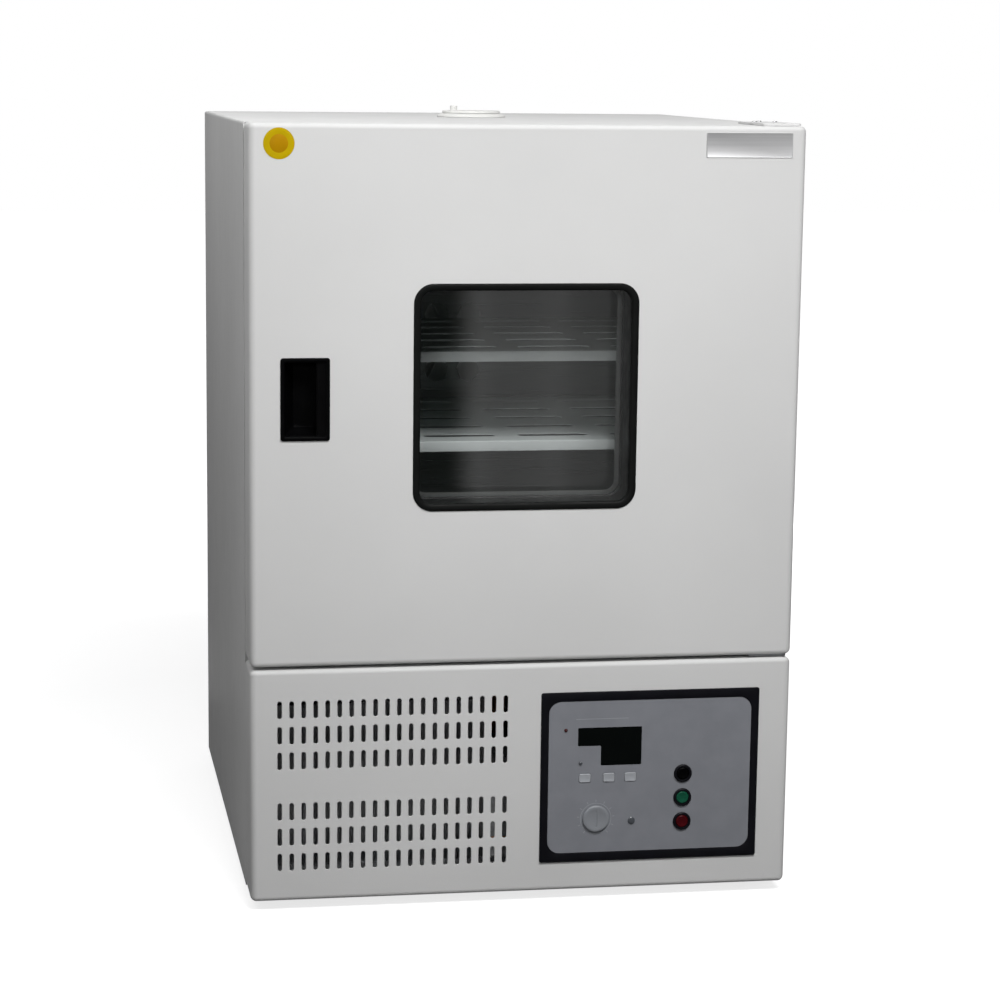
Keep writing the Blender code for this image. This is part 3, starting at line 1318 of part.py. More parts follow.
def build_window(panel_front):
    glass_front = FRONT + SHEET + FIT
    inner_back = panel_front - FIT
    opening = WINDOW_SIZE - 2 * TRIM_WIDTH
    radius = WINDOW_RADIUS - TRIM_WIDTH
    lip = prism(
        [
            rounded(WINDOW_X, DOOR_MIDDLE, WINDOW_SIZE, WINDOW_SIZE, WINDOW_RADIUS, 5),
            rounded(WINDOW_X, DOOR_MIDDLE, opening, opening, radius, 4),
        ],
        FRONT - TRIM_PROUD,
        FRONT - FIT,
        "Y",
    )
    trim = part("window_trim", lip, RUBBER)
    outside = WINDOW_CUT - 2 * FIT
    neck = prism(
        [
            rounded(WINDOW_X, DOOR_MIDDLE, outside, outside, WINDOW_CUT_RADIUS - FIT, 4),
            rounded(WINDOW_X, DOOR_MIDDLE, opening + FIT, opening + FIT, radius, 3),
        ],
        FRONT - TRIM_PROUD / 2,
        glass_front - FIT,
        "Y",
    )
    join(trim, neck)
    pane = square(WINDOW_X, DOOR_MIDDLE, GLASS_SIZE, WINDOW_RADIUS, glass_front, glass_front + GLASS)
    outer = part("window_outer_glass", pane, GLASS_LOOK)
    pane = square(WINDOW_X, DOOR_MIDDLE, GLASS_SIZE, WINDOW_RADIUS, inner_back - GLASS, inner_back)
    inner = part("window_inner_glass", pane, GLASS_LOOK)
    bore = GLASS_SIZE - 2 * SPACER_WALL
    tunnel = prism(
        [
            rounded(WINDOW_X, DOOR_MIDDLE, GLASS_SIZE, GLASS_SIZE, WINDOW_RADIUS),
            rounded(WINDOW_X, DOOR_MIDDLE, bore, bore, WINDOW_RADIUS - SPACER_WALL),
        ],
        glass_front + GLASS + FIT,
        inner_back - GLASS - FIT,
        "Y",
    )
    spacer = part("window_spacer", tunnel, BLACK)
    return [trim, outer, inner, spacer]


def handle_block(border, low, high):
    """The space inside the handle's frame, drawn in by border on every side."""
    width, height = HANDLE_WIDTH - 2 * border, HANDLE_HEIGHT - 2 * border
    return prism([rounded(HANDLE_X, DOOR_MIDDLE, width, height, HANDLE_RADIUS, 3)], low, high, "Y")


def build_handle():
    """Recessed pull: a moulded pocket with sloped walls and a lip to pull on."""
    face = FRONT - HANDLE_PROUD
    width, height = HANDLE_WIDTH, HANDLE_HEIGHT
    flange = prism([rounded(HANDLE_X, DOOR_MIDDLE, width, height, HANDLE_RADIUS, 3)], face, FRONT - FIT, "Y")
    handle = part("handle_cup", flange, BLACK)
    join(handle, handle_block(HANDLE_BORDER - FIT, FRONT - HANDLE_PROUD / 2, FRONT + HANDLE_DEPTH))
    border = HANDLE_BORDER + HANDLE_WALL / 2
    left, right = HANDLE_X - width / 2 + border, HANDLE_X + width / 2 - border
    low, high = DOOR_MIDDLE - height / 2 + border, DOOR_MIDDLE + height / 2 - border
    deep = FRONT + HANDLE_DEPTH - HANDLE_WALL
    pocket = block((left, face - SHEET, low), (right, deep, high))
    for vert in pocket.verts:
        if vert.co.y > FRONT:
            if vert.co.x < HANDLE_X:
                vert.co.x += HANDLE_RAMP
            if vert.co.z < DOOR_MIDDLE:
                vert.co.z += HANDLE_SLOPE
    cut(handle, pocket)
    sunk = HANDLE_LIP_SET
    grip = block(
        (right - HANDLE_LIP, face + sunk, low - sunk),
        (right + sunk, face + sunk + HANDLE_LIP_THICKNESS, high + sunk),
        HANDLE_LIP_THICKNESS / 4,
    )
    join(handle, grip)
    return handle


def panel_faces():
    """Front planes of the bezel and of the control plate."""
    bezel = FRONT - BEZEL_PROUD
    return bezel, bezel + PLATE_RECESS


def build_panel():
    build_bezel()
    build_control_plate()
    build_controller()


def panel_room():
    """Width and height of the opening inside the bezel."""
    return PANEL_WIDTH - 2 * PANEL_BORDER_X, PANEL_HEIGHT - 2 * PANEL_BORDER_Z


def build_bezel():
    """Moulded surround: a lip over the front panel, a neck through it and a ledge behind the plate."""
    bezel_face, plate_face = panel_faces()
    plate_back = plate_face + PLATE_THICKNESS
    x, z = PANEL_X, FASCIA_MIDDLE
    inner_w, inner_h = panel_room()
    lap = PANEL_LAP + FIT
    lip = prism(
        [
            rounded(x, z, PANEL_WIDTH, PANEL_HEIGHT, PANEL_CORNER, 2),
            rounded(x, z, inner_w, inner_h, PANEL_RADIUS, 5),
        ],
        bezel_face,
        FRONT - FIT,
        "Y",
    )
    neck = prism(
        [
            rounded(x, z, PANEL_WIDTH - 2 * lap, PANEL_HEIGHT - 2 * lap, PANEL_CORNER, 2),
            rounded(x, z, inner_w + FIT, inner_h + FIT, PANEL_RADIUS, 3),
        ],
        FRONT - 3 * FIT,
        plate_back + PANEL_LEDGE_THICKNESS,
        "Y",
    )
    lap += FIT
    opening = (inner_w - 2 * PANEL_LEDGE, inner_h - 2 * PANEL_LEDGE, PANEL_RADIUS - PANEL_LEDGE)
    ledge = prism(
        [
            rounded(x, z, PANEL_WIDTH - 2 * lap, PANEL_HEIGHT - 2 * lap, PANEL_CORNER, 2),
            rounded(x, z, *opening, 3),
        ],
        plate_back + FIT,
        plate_back + FIT + PANEL_LEDGE_THICKNESS,
        "Y",
    )
    join(part("panel_bezel", lip, BLACK), neck, ledge)


def display_outline(inset):
    """The display's stepped outline, drawn in by an inset."""
    left, right = PANEL_X + DISPLAY_X[0] + inset, PANEL_X + DISPLAY_X[1] - inset
    low, high = FASCIA_MIDDLE + DISPLAY_Z[0] + inset, FASCIA_MIDDLE + DISPLAY_Z[1] - inset
    step_x, step_z = PANEL_X + DISPLAY_STEP[0] + inset, FASCIA_MIDDLE + DISPLAY_STEP[1] + inset
    return [(left, step_z), (step_x, step_z), (step_x, low), (right, low), (right, high), (left, high)]


def build_control_plate():
    """Grey plate with its cut-outs, and the display's lens in the largest of them."""
    face = panel_faces()[1]
    x, z = PANEL_X, FASCIA_MIDDLE
    inner_w, inner_h = panel_room()
    outlines = [rounded(x, z, inner_w - 2 * FIT, inner_h - 2 * FIT, PANEL_RADIUS - FIT, 4)]
    outlines.append(display_outline(0))
    for key_x in KEY_X:
        key_size = (KEY_WIDTH + 2 * FIT, KEY_HEIGHT + 2 * FIT)
        outlines.append(rounded(x + key_x, z + KEY_Z, *key_size, KEY_RADIUS, 2))
    for place in button_places():
        outlines.append(circle(*place, SWITCH_RADIUS + FIT, 20))
    outlines.append(circle(x + DIAL_X, z + DIAL_Z, DIAL_STEM_RADIUS + FIT, 12))
    back = face + PLATE_THICKNESS
    part("panel_plate", prism(outlines, face, back, "Y"), PLATE_GREY)
    part("display_window", prism([display_outline(FIT)], face + DISPLAY_RECESS, back, "Y"), DISPLAY_BLACK)


def build_controller():
    """Temperature controller behind the plate, with a pocket for each key."""
    x, z = PANEL_X, FASCIA_MIDDLE
    seat = panel_faces()[1] + PLATE_THICKNESS + FIT
    margin = CONTROLLER_MARGIN
    low = (x + DISPLAY_X[0] - margin, seat, z + KEY_Z - CONTROLLER_FOOT)
    high = (x + DISPLAY_X[1] + margin, seat + CONTROLLER_DEPTH, z + DISPLAY_Z[1] + margin)
    housing = part("controller_housing", block(low, high, margin, ("-Y",)), BLACK)
    half_x, half_z = KEY_WIDTH / 2 + SLIDE_FIT, KEY_HEIGHT / 2 + SLIDE_FIT
    deep = seat + KEY_BACK + KEY_TRAVEL + SLIDE_FIT
    pockets = []
    for key_x in KEY_X:
        corner = (x + key_x - half_x, seat - margin, z + KEY_Z - half_z)
        pockets.append(block(corner, (x + key_x + half_x, deep, z + KEY_Z + half_z)))
    cut(housing, merged(*pockets))


def build_keys():
    plate_face = panel_faces()[1]
    x, z = PANEL_X, FASCIA_MIDDLE + KEY_Z
    front = plate_face - KEY_PROUD
    for name, key_x in zip(("left", "middle", "right"), KEY_X):
        shape = ridge_block(
            (x + key_x - KEY_WIDTH / 2, front, z - KEY_HEIGHT / 2),
            (x + key_x + KEY_WIDTH / 2, plate_face + PLATE_THICKNESS + KEY_BACK, z + KEY_HEIGHT / 2),
            "Y",
            KEY_RADIUS,
            2,
        )
        pivot(part(f"key_{name}", shape, KEY_GREY), (x + key_x, front, z))


def button_places():
    """Centres of the three push buttons, from the top one down."""
    x = PANEL_X + BUTTON_X
    return [(x, FASCIA_MIDDLE + BUTTON_MIDDLE_Z + step * BUTTON_PITCH) for step in (1, 0, -1)]


def build_buttons():
    """Push buttons: a bezel and switch body through the plate, and a cap that slides in it."""
    front = FRONT - FRONT_PROUD
    seat = panel_faces()[1] - FIT
    rim = BUTTON_BEZEL_PROUD
    depth = BUTTON_LENGTH + BUTTON_TRAVEL + SLIDE_FIT
    for (name, look), (x, z) in zip((("black", BLACK), ("green", GREEN), ("red", RED)), button_places()):
        ring = rod((x, seat - rim, z), BUTTON_BEZEL_RADIUS - BUTTON_BEVEL, rim, "Y", 20, BUTTON_BEZEL_RADIUS)
        body = part(f"switch_body_{name}", ring, BLACK)
        join(body, rod((x, seat - rim / 2, z), SWITCH_RADIUS, SWITCH_DEPTH, "Y", 12))
        cut(body, rod((x, front - SHEET, z), BUTTON_RADIUS + FIT, SHEET + depth, "Y", 20))
        top = rod((x, front, z), BUTTON_RADIUS - BUTTON_BEVEL, SHEET, "Y", 20, BUTTON_RADIUS)
        cap = part(f"button_{name}", top, look)
        join(cap, rod((x, front + BUTTON_BEVEL, z), BUTTON_RADIUS, BUTTON_LENGTH - BUTTON_BEVEL, "Y", 20))
        pivot(cap, (x, front, z))


def build_dial():
    """Adjuster of the safety thermostat, turned with a coin in its slot."""
    x, z = PANEL_X + DIAL_X, FASCIA_MIDDLE + DIAL_Z
    seat = panel_faces()[1] - FIT
    front = seat - DIAL_PROUD
    disc = rod((x, front, z), DIAL_RADIUS - BUTTON_BEVEL, DIAL_PROUD, "Y", 28, DIAL_RADIUS)
    dial = part("limit_dial", disc, PLATE_GREY)
    overlap = DIAL_PROUD / 3
    stem = rod((x, seat - overlap, z), DIAL_STEM_RADIUS, overlap + DIAL_STEM_LENGTH, "Y", 12)
    join(dial, stem)
    half_x, half_z = DIAL_GROOVE_WIDTH / 2, DIAL_GROOVE_LENGTH / 2
    low = (x - half_x, front - DIAL_GROOVE_DEPTH, z - half_z)
    cut(dial, block(low, (x + half_x, front + DIAL_GROOVE_DEPTH, z + half_z)))
    pivot(dial, (x, seat, z))


def build_vent():
    """Air port through the roof, with a turning damper."""
    seat = TOP + FIT
    flange = rod((0, VENT_Y, seat), VENT_RADIUS, VENT_FLANGE, "Z", 32, VENT_RADIUS - VENT_FLANGE / 2)
    collar = part("vent_collar", flange, WHITE_PLASTIC)
    bottom = CHAMBER_TOP + LINER
    top = seat + VENT_FLANGE
    join(collar, rod((0, VENT_Y, bottom), VENT_TUBE_RADIUS, top - VENT_WEB - bottom, "Z", 24))
    low = bottom - WALL_CEILING / 4
    bore = rod((0, VENT_Y, low), VENT_TUBE_RADIUS - VENT_TUBE_WALL, top - VENT_WEB - low, "Z", 20)
    cut(collar, bore, merged(*vent_holes(seat, top + VENT_FLANGE, 0)))
    base = top + FIT
    rim = DAMPER_RADIUS - DAMPER_THICKNESS / 2
    disc = rod((0, VENT_Y, base), DAMPER_RADIUS, DAMPER_THICKNESS, "Z", 28, rim)
    damper = part("vent_damper", disc, WHITE_PLASTIC)
    root = DAMPER_THICKNESS / 3
    tall = DAMPER_THICKNESS + KNOB_HEIGHT - root
    join(damper, rod((-KNOB_PLACE, VENT_Y, base + root), KNOB_RADIUS, tall, "Z", 12))
    cut(damper, merged(*vent_holes(base - FIT, base + 2 * DAMPER_THICKNESS, DAMPER_TURN)))
    pivot(damper, (0, VENT_Y, base))


def vent_holes(low, high, turn):
    """Three air holes round the port's axis."""
    holes = []
    for index in range(3):
        angle = math.radians(turn + 120 * index)
        place = (DAMPER_HOLE_PLACE * math.cos(angle), VENT_Y + DAMPER_HOLE_PLACE * math.sin(angle), low)
        holes.append(rod(place, DAMPER_HOLE_RADIUS, high - low, "Z", 10))
    return holes


def build():
    hinge = bpy.data.objects.new("door_hinge", None)
    hinge.location = (HINGE_X, HINGE_Y, DOOR_MIDDLE)
    PARTS.objects.link(hinge)
    bpy.context.view_layer.update()
    build_feet()
    build_casing()
    build_base_and_deck()
    build_rear()
    build_inlet()
    build_insulation()
    build_liner()
    build_front_frame()
    build_racks()
    build_shelves()
    build_baffle()
    build_probe()
    build_evaporator()
    build_heater()
    build_fan_motor()
    build_fan()
    build_drain()
    build_compressor()
    build_condenser()
    build_condenser_shroud()
    build_condenser_fan()
    build_lines()
    build_fascia()
    build_hinge_brackets()
    build_door(hinge)
    build_panel()
    build_keys()
    build_buttons()
    build_dial()
    build_vent()


build()
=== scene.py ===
"""Looks of a refrigerated laboratory incubator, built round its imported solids.

Metres, +Z up, the front faces -Y. Places come from the solids' own boxes.
"""

import json
from math import cos, pi, radians, sin, sqrt

import bmesh
import bpy
from mathutils import Matrix, Vector


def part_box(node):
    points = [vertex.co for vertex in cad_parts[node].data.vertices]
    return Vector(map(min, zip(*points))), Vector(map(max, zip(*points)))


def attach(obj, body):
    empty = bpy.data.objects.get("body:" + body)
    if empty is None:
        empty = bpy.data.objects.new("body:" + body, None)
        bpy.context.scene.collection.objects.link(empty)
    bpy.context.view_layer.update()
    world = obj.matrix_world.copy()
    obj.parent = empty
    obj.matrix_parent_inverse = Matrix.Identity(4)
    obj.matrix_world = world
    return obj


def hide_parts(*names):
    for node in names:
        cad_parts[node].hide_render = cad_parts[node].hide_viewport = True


bpy.context.scene.view_settings.view_transform = "Standard"
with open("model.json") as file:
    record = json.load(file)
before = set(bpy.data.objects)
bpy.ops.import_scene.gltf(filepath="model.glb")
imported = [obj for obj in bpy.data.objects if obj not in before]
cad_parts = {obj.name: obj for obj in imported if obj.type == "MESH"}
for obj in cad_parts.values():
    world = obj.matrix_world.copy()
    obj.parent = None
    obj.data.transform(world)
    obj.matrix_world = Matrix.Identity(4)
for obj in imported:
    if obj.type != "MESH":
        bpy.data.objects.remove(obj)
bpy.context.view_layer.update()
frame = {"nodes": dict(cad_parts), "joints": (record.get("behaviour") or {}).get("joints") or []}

CABINET = "cabinet"
DOOR = "door"
FIT = 0.0003
SMOOTH_ANGLE = radians(34)


def span(node):
    """Lowest corner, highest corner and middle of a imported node."""
    low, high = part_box(node)
    return low, high, (low + high) / 2


# Materials


def colour(red, green, blue):
    """Linear colour from the usual 0..255 values."""
    made = []
    for value in (red, green, blue):
        share = value / 255
        made.append(share / 12.92 if share <= 0.04045 else ((share + 0.055) / 1.055) ** 2.4)
    return tuple(made)


def scaled(base, factor):
    return tuple(min(1.0, channel * factor) for channel in base)


def fill(node, **values):
    """Sets a node's inputs. The underscores of a key stand for spaces."""
    for name, value in values.items():
        node.inputs[name.replace("_", " ")].default_value = value
    return node


def new_node(tree, kind, **values):
    return fill(tree.nodes.new("ShaderNode" + kind), **values)


def wire(tree, *pairs):
    for source, target in pairs:
        tree.links.new(source, target)


class Nodes:
    """A material's node tree, with short calls for the nodes that the looks share."""

    def __init__(self, name):
        self.material = bpy.data.materials.new(name)
        self.material.use_nodes = True
        self.tree = self.material.node_tree
        self.shader = self.tree.nodes["Principled BSDF"]
        self.place = new_node(self.tree, "TexCoord").outputs["Object"]

    def fed(self, kind, source, socket, output, **values):
        """The output of a new node that takes a source."""
        node = new_node(self.tree, kind, **values)
        wire(self.tree, (source, node.inputs[socket]))
        return node.outputs[output]

    def noise(self, scale, detail=2.0, stretch=None, rough=0.5):
        place = self.fed("Mapping", self.place, "Vector", "Vector", Scale=stretch) if stretch else self.place
        return self.fed("TexNoise", place, "Vector", "Fac", Scale=scale, Detail=detail, Roughness=rough)

    def ramp(self, source, low=0.0, high=1.0, start=0.35, end=0.65):
        limits = {"From_Min": start, "From_Max": end, "To_Min": low, "To_Max": high}
        return self.fed("MapRange", source, "Value", "Result", **limits)

    def blend(self, share, first, second):
        node = new_node(self.tree, "Mix")
        node.data_type = "RGBA"
        for socket, value in ((node.inputs[6], first), (node.inputs[7], second)):
            if isinstance(value, bpy.types.NodeSocket):
                wire(self.tree, (value, socket))
            else:
                socket.default_value = (*value, 1.0)
        wire(self.tree, (share, node.inputs["Factor"]))
        return node.outputs[2]

    def bump(self, height, distance):
        return self.fed("Bump", height, "Height", "Normal", Distance=distance)

    def set(self, **values):
        fill(self.shader, **values)

    def finish(self, base, roughness, normal=None):
        for name, source in (("Base Color", base), ("Roughness", roughness), ("Normal", normal)):
            if source is not None:
                wire(self.tree, (source, self.shader.inputs[name]))
        return self.material


def painted(name, base, peel=0.00006, rough=(0.46, 0.56), soil=0.02):
    """Powder coat: fine orange peel, and a slight cloudiness of tone."""
    tree = Nodes(name)
    cloud = tree.ramp(tree.noise(5.0, 3.0))
    speck = tree.ramp(tree.noise(1400.0, 1.0))
    tone = tree.blend(cloud, scaled(base, 1 + soil), scaled(base, 1 - soil))
    tone = tree.blend(tree.ramp(speck, 0.0, 0.18, 0.0, 1.0), tone, scaled(base, 0.93))
    normal = tree.bump(tree.noise(520.0, 2.0), peel)
    tree.set(IOR=1.45, Specular_IOR_Level=0.3)
    return tree.finish(tone, tree.ramp(tree.noise(30.0, 3.0), *rough), normal)


def brushed(name, base, along="X", rough=(0.24, 0.4), scratch=0.00002, streak=0.1, metal=1.0):
    """Metal sheet with fine parallel grain along one axis."""
    tree = Nodes(name)
    stretch = {"X": (4.0, 600.0, 600.0), "Y": (600.0, 4.0, 600.0), "Z": (600.0, 600.0, 4.0)}[along]
    grain = tree.noise(1.0, 4.0, stretch, 0.7)
    tone = tree.blend(tree.ramp(grain), scaled(base, 1 - streak), scaled(base, 1 + streak))
    smear = tree.ramp(tree.noise(9.0, 3.0), 0.0, 0.25)
    tone = tree.blend(smear, tone, scaled(base, 1 - 2 * streak))
    tree.set(Metallic=metal)
    return tree.finish(tone, tree.ramp(grain, *rough), tree.bump(grain, scratch))


def spangled(name, base, rough=(0.34, 0.52)):
    """Galvanised sheet: flat crystals of slightly different tone."""
    tree = Nodes(name)
    cells = tree.fed("TexVoronoi", tree.place, "Vector", "Color", Scale=90.0)
    share = tree.fed("RGBToBW", cells, "Color", "Val")
    tone = tree.blend(share, scaled(base, 0.78), scaled(base, 1.1))
    tree.set(Metallic=1.0)
    return tree.finish(tone, tree.ramp(share, *rough, 0.0, 1.0), tree.bump(tree.noise(300.0, 2.0), 0.00002))


def moulded(name, base, grain=0.00005, rough=(0.36, 0.5), scale=900.0, lift=1.3, shine=0.5):
    """Moulded plastic or rubber: a fine leathery grain and faint rubbed patches."""
    tree = Nodes(name)
    tree.set(Specular_IOR_Level=shine)
    rubbed = tree.ramp(tree.noise(45.0, 3.0))
    tone = tree.blend(rubbed, base, scaled(base, lift))
    normal = tree.bump(tree.noise(scale, 3.0), grain)
    return tree.finish(tone, tree.ramp(tree.noise(70.0, 2.0), *rough), normal)


def foamed(name, base):
    """Insulating foam: open cells and a mottled skin."""
    tree = Nodes(name)
    tone = tree.blend(tree.ramp(tree.noise(25.0, 4.0)), base, scaled(base, 0.82))
    normal = tree.bump(tree.noise(420.0, 4.0), 0.0004)
    return tree.finish(tone, tree.ramp(tree.noise(60.0), 0.85, 0.98), normal)


def glazed(name, tint, alpha, rough=0.02):
    """Window glass, with the faintest smears."""
    tree = Nodes(name)
    tree.set(Alpha=alpha, Specular_IOR_Level=1.0, IOR=1.52)
    tree.set(Coat_Weight=1.0, Coat_Roughness=0.02, Coat_IOR=3.2)
    tree.material.surface_render_method = "BLENDED"
    tone = tree.blend(tree.ramp(tree.noise(14.0, 3.0)), tint, scaled(tint, 1.25))
    return tree.finish(tone, tree.ramp(tree.noise(18.0, 3.0), rough, rough + 0.03))


def stainless(axis):
    name = f"stainless_grain_{axis.lower()}"
    return brushed(name, (0.56, 0.58, 0.575), axis, (0.34, 0.46), 0.000004, 0.03)


PAINT_TONE = (0.66, 0.66, 0.655)
BUTTON_TONE = (0.0006, 0.0006, 0.0008)
LOOK = {
    "paint": painted("cabinet_powder_coat", PAINT_TONE),
    "paint_inside": painted("frame_powder_coat", scaled(PAINT_TONE, 0.97), 0.00004),
    "steel_x": stainless("X"),
    "steel_y": stainless("Y"),
    "steel_z": stainless("Z"),
    # The chamber steel is a darker copy of the stainless: painted shade for the dim inside of the chamber.
    "chamber": brushed("chamber_stainless_painted_shade", (0.26, 0.272, 0.268), "X", (0.26, 0.36), 0.000004, 0.03),
    "shelf": brushed("shelf_satin_steel", (0.8, 0.86, 0.85), "X", (0.5, 0.62), 0.000004, 0.02, 0.12),
    "bright": brushed("screw_steel", (0.6, 0.6, 0.61), "X", (0.18, 0.3)),
    "galvanised": spangled("galvanised_sheet", (0.52, 0.53, 0.55)),
    "fins": brushed("fin_aluminium", (0.62, 0.63, 0.64), "Z", (0.3, 0.46)),
    "badge": brushed("badge_aluminium", (0.54, 0.54, 0.545), "X", (0.4, 0.5), 0.000005, 0.04, 0.4),
    "copper": brushed("drawn_copper", (0.6, 0.29, 0.17), "Y", (0.28, 0.44)),
    "brass": brushed("inlet_pin_brass", (0.62, 0.5, 0.24), "Y", (0.2, 0.3)),
    "enamel": painted("compressor_enamel", (0.018, 0.018, 0.02), 0.00012, (0.22, 0.34), 0.2),
    "black": moulded("black_moulding", (0.0045, 0.0045, 0.0065), 0.00004, (0.34, 0.46), shine=0.12),
    "fan_black": moulded("fan_nylon", (0.012, 0.012, 0.012), shine=0.3),
    "pull": moulded("pull_moulding_black", (0.001, 0.001, 0.0012), 0.00005, (0.36, 0.48), shine=0.05),
    "rubber": moulded("black_rubber", (0.0035, 0.0038, 0.0036), 0.00006, (0.5, 0.64), 700.0, shine=0.1),
    "spacer": moulded("spacer_bar_black", (0.006, 0.0065, 0.0065), 0.00002, (0.4, 0.5), shine=0.2),
    "gasket": moulded("gasket_rubber", (0.1, 0.1, 0.105), 0.00005, (0.5, 0.65), 500.0),
    "plate": moulded("control_overlay", colour(126, 128, 134), 0.00008, (0.42, 0.55), 1100.0, 1.08),
    "key": moulded("key_cap_grey", colour(164, 167, 172), 0.00005, (0.38, 0.5), 1100.0, 1.05),
    "dial": moulded("dial_grey", colour(131, 134, 139), 0.00005, (0.38, 0.5), 900.0, 1.06),
    "line": moulded("overlay_line", colour(152, 156, 161), 0.00002, (0.42, 0.5), 900.0, 1.05),
    "display": moulded("display_glass", (0.0012, 0.002, 0.0018), 0.000004, (0.08, 0.14), 300.0, 1.2, 0.12),
    "lamp": moulded("lamp_lens_dark", colour(72, 75, 80), 0.00001, (0.12, 0.2), 300.0),
    "lamp_red": moulded("lamp_lens_red", colour(60, 22, 24), 0.00001, (0.12, 0.2), 300.0),
    "green": moulded("button_green_plastic", (0.0046, 0.062, 0.033), 0.00002, (0.22, 0.32), 500.0, 1.3, 0.15),
    "red": moulded("button_red_plastic", (0.048, 0.0012, 0.003), 0.00002, (0.22, 0.32), 500.0, 1.3, 0.15),
    "black_button": moulded("button_black_plastic", BUTTON_TONE, 0.00002, (0.3, 0.4), shine=0.06),
    "white": moulded("white_plastic_moulding", (0.72, 0.72, 0.7), 0.00004, (0.4, 0.5), 900.0, 0.96),
    "foam": foamed("insulating_foam", (0.78, 0.7, 0.43)),
    "glass": glazed("window_glass", (0.01, 0.014, 0.012), 0.11),
    "sticker": moulded("sticker_yellow", (0.48, 0.335, 0.0015), 0.00001, (0.4, 0.5), 300.0, 1.08, 0.05),
    "sticker_middle": moulded("sticker_amber", (0.45, 0.23, 0.0012), 0.00001, (0.4, 0.5), 300.0, 0.9, 0.05),
}

# Mesh code


def placed(name, data):
    """A new object in the scene."""
    made = bpy.data.objects.new(name, data)
    bpy.context.scene.collection.objects.link(made)
    return made


def applied(guide):
    """The final mesh of a curve, or of an object with modifiers."""
    bpy.context.view_layer.update()
    return bpy.data.meshes.new_from_object(guide.evaluated_get(bpy.context.evaluated_depsgraph_get()))


def lay(u, v, level, axis):
    """A point of a flat outline at a level along an axis."""
    return Vector({"X": (level, u, v), "Y": (u, level, v), "Z": (u, v, level)}[axis])


def arc(cu, cv, radius, start, end, steps):
    points = []
    for step in range(steps + 1):
        angle = radians(start + (end - start) * step / steps)
        points.append((cu + radius * cos(angle), cv + radius * sin(angle)))
    return points


def rect(cu, cv, width, height, radius, steps=6):
    """Rectangle with round corners, always with the same number of points."""
    radius = min(radius, width / 2, height / 2)
    half_u, half_v = width / 2 - radius, height / 2 - radius
    points = []
    for quarter, (su, sv) in enumerate(((1, 1), (-1, 1), (-1, -1), (1, -1))):
        points += arc(cu + su * half_u, cv + sv * half_v, radius, 90 * quarter, 90 * quarter + 90, steps)
    return points


def mesh_of(bm, name="mesh"):
    bmesh.ops.remove_doubles(bm, verts=bm.verts, dist=1e-6)
    bmesh.ops.dissolve_degenerate(bm, edges=bm.edges, dist=1e-7)
    bmesh.ops.recalc_face_normals(bm, faces=bm.faces)
    mesh = bpy.data.meshes.new(name)
    bm.to_mesh(mesh)
    bm.free()
    mesh.shade_smooth()
    mesh.set_sharp_from_angle(angle=SMOOTH_ANGLE)
    return mesh


def skin(rows, closed=False, caps=True):
    """Joins rows of points into a skin, then caps its ends or closes it on itself."""
    bm = bmesh.new()
    made = [[bm.verts.new(point) for point in row] for row in rows]
    pairs = list(zip(made, made[1:]))
    if closed:
        pairs.append((made[-1], made[0]))
    for first, second in pairs:
        for index in range(len(first)):
            after = (index + 1) % len(first)
            bm.faces.new((first[index], first[after], second[after], second[index]))
    if caps and not closed:
        bm.faces.new(made[0])
        bm.faces.new(made[-1][::-1])
    return bm


def stack(rings, axis="Y", steps=6, closed=False):
    """A solid through round-cornered rectangles, each (u, v, width, height, radius, level)."""
    rows = []
    for cu, cv, width, height, radius, level in rings:
        rows.append([lay(u, v, level, axis) for u, v in rect(cu, cv, width, height, radius, steps)])
    return skin(rows, closed)


def pad(cu, cv, width, height, radius, front, back, edge, axis="Y", steps=6):
    """A flat piece whose front edge is rounded over."""
    way = 1 if back > front else -1
    border = edge + min(edge, 0.0004)
    rings = [(cu, cv, width - 2 * border, height - 2 * border, max(radius - border, 0.0001), front)]
    for angle in (0, 22, 45, 68, 90):
        inset = edge * (1 - sin(radians(angle)))
        level = front + way * (edge * (1 - cos(radians(angle))))
        rings.append((cu, cv, width - 2 * inset, height - 2 * inset, max(radius - inset, 0.0001), level))
    rings.append((cu, cv, width, height, radius, back))
    return stack(rings, axis, steps)


def lathe(profile, centre, axis="Y", steps=48, closed=False):
    """A turned solid from points (radius, level), level counted along the axis from centre."""
    rows = []
    for radius, level in profile:
        ring = arc(0, 0, max(radius, 0.00002), 0, 360, steps)[:-1]
        rows.append([Vector(centre) + lay(u, v, level, axis) for u, v in ring])
    return skin(rows, closed)


def rod(radius, low, high, place, axis="Z", steps=24):
    return lathe([(0.0, low), (radius, low), (radius, high), (0.0, high)], place, axis, steps)


def ring_stack(middle, rings, steps, closed):
    """Rectangles (width, height, radius, level) round one middle, stacked along Y."""
    return stack([(middle.x, middle.z, *ring) for ring in rings], "Y", steps, closed)


def square_stack(middle, rings, steps):
    """A closed loop of squares (size, radius, level) round one middle."""
    return ring_stack(middle, [(size, size, radius, level) for size, radius, level in rings], steps, True)


def shrunk(*rings):
    """Rings (width, height, radius, level) from ((width, height), margin, radius, level)."""
    return [(size[0] - margin, size[1] - margin, radius, level) for size, margin, radius, level in rings]


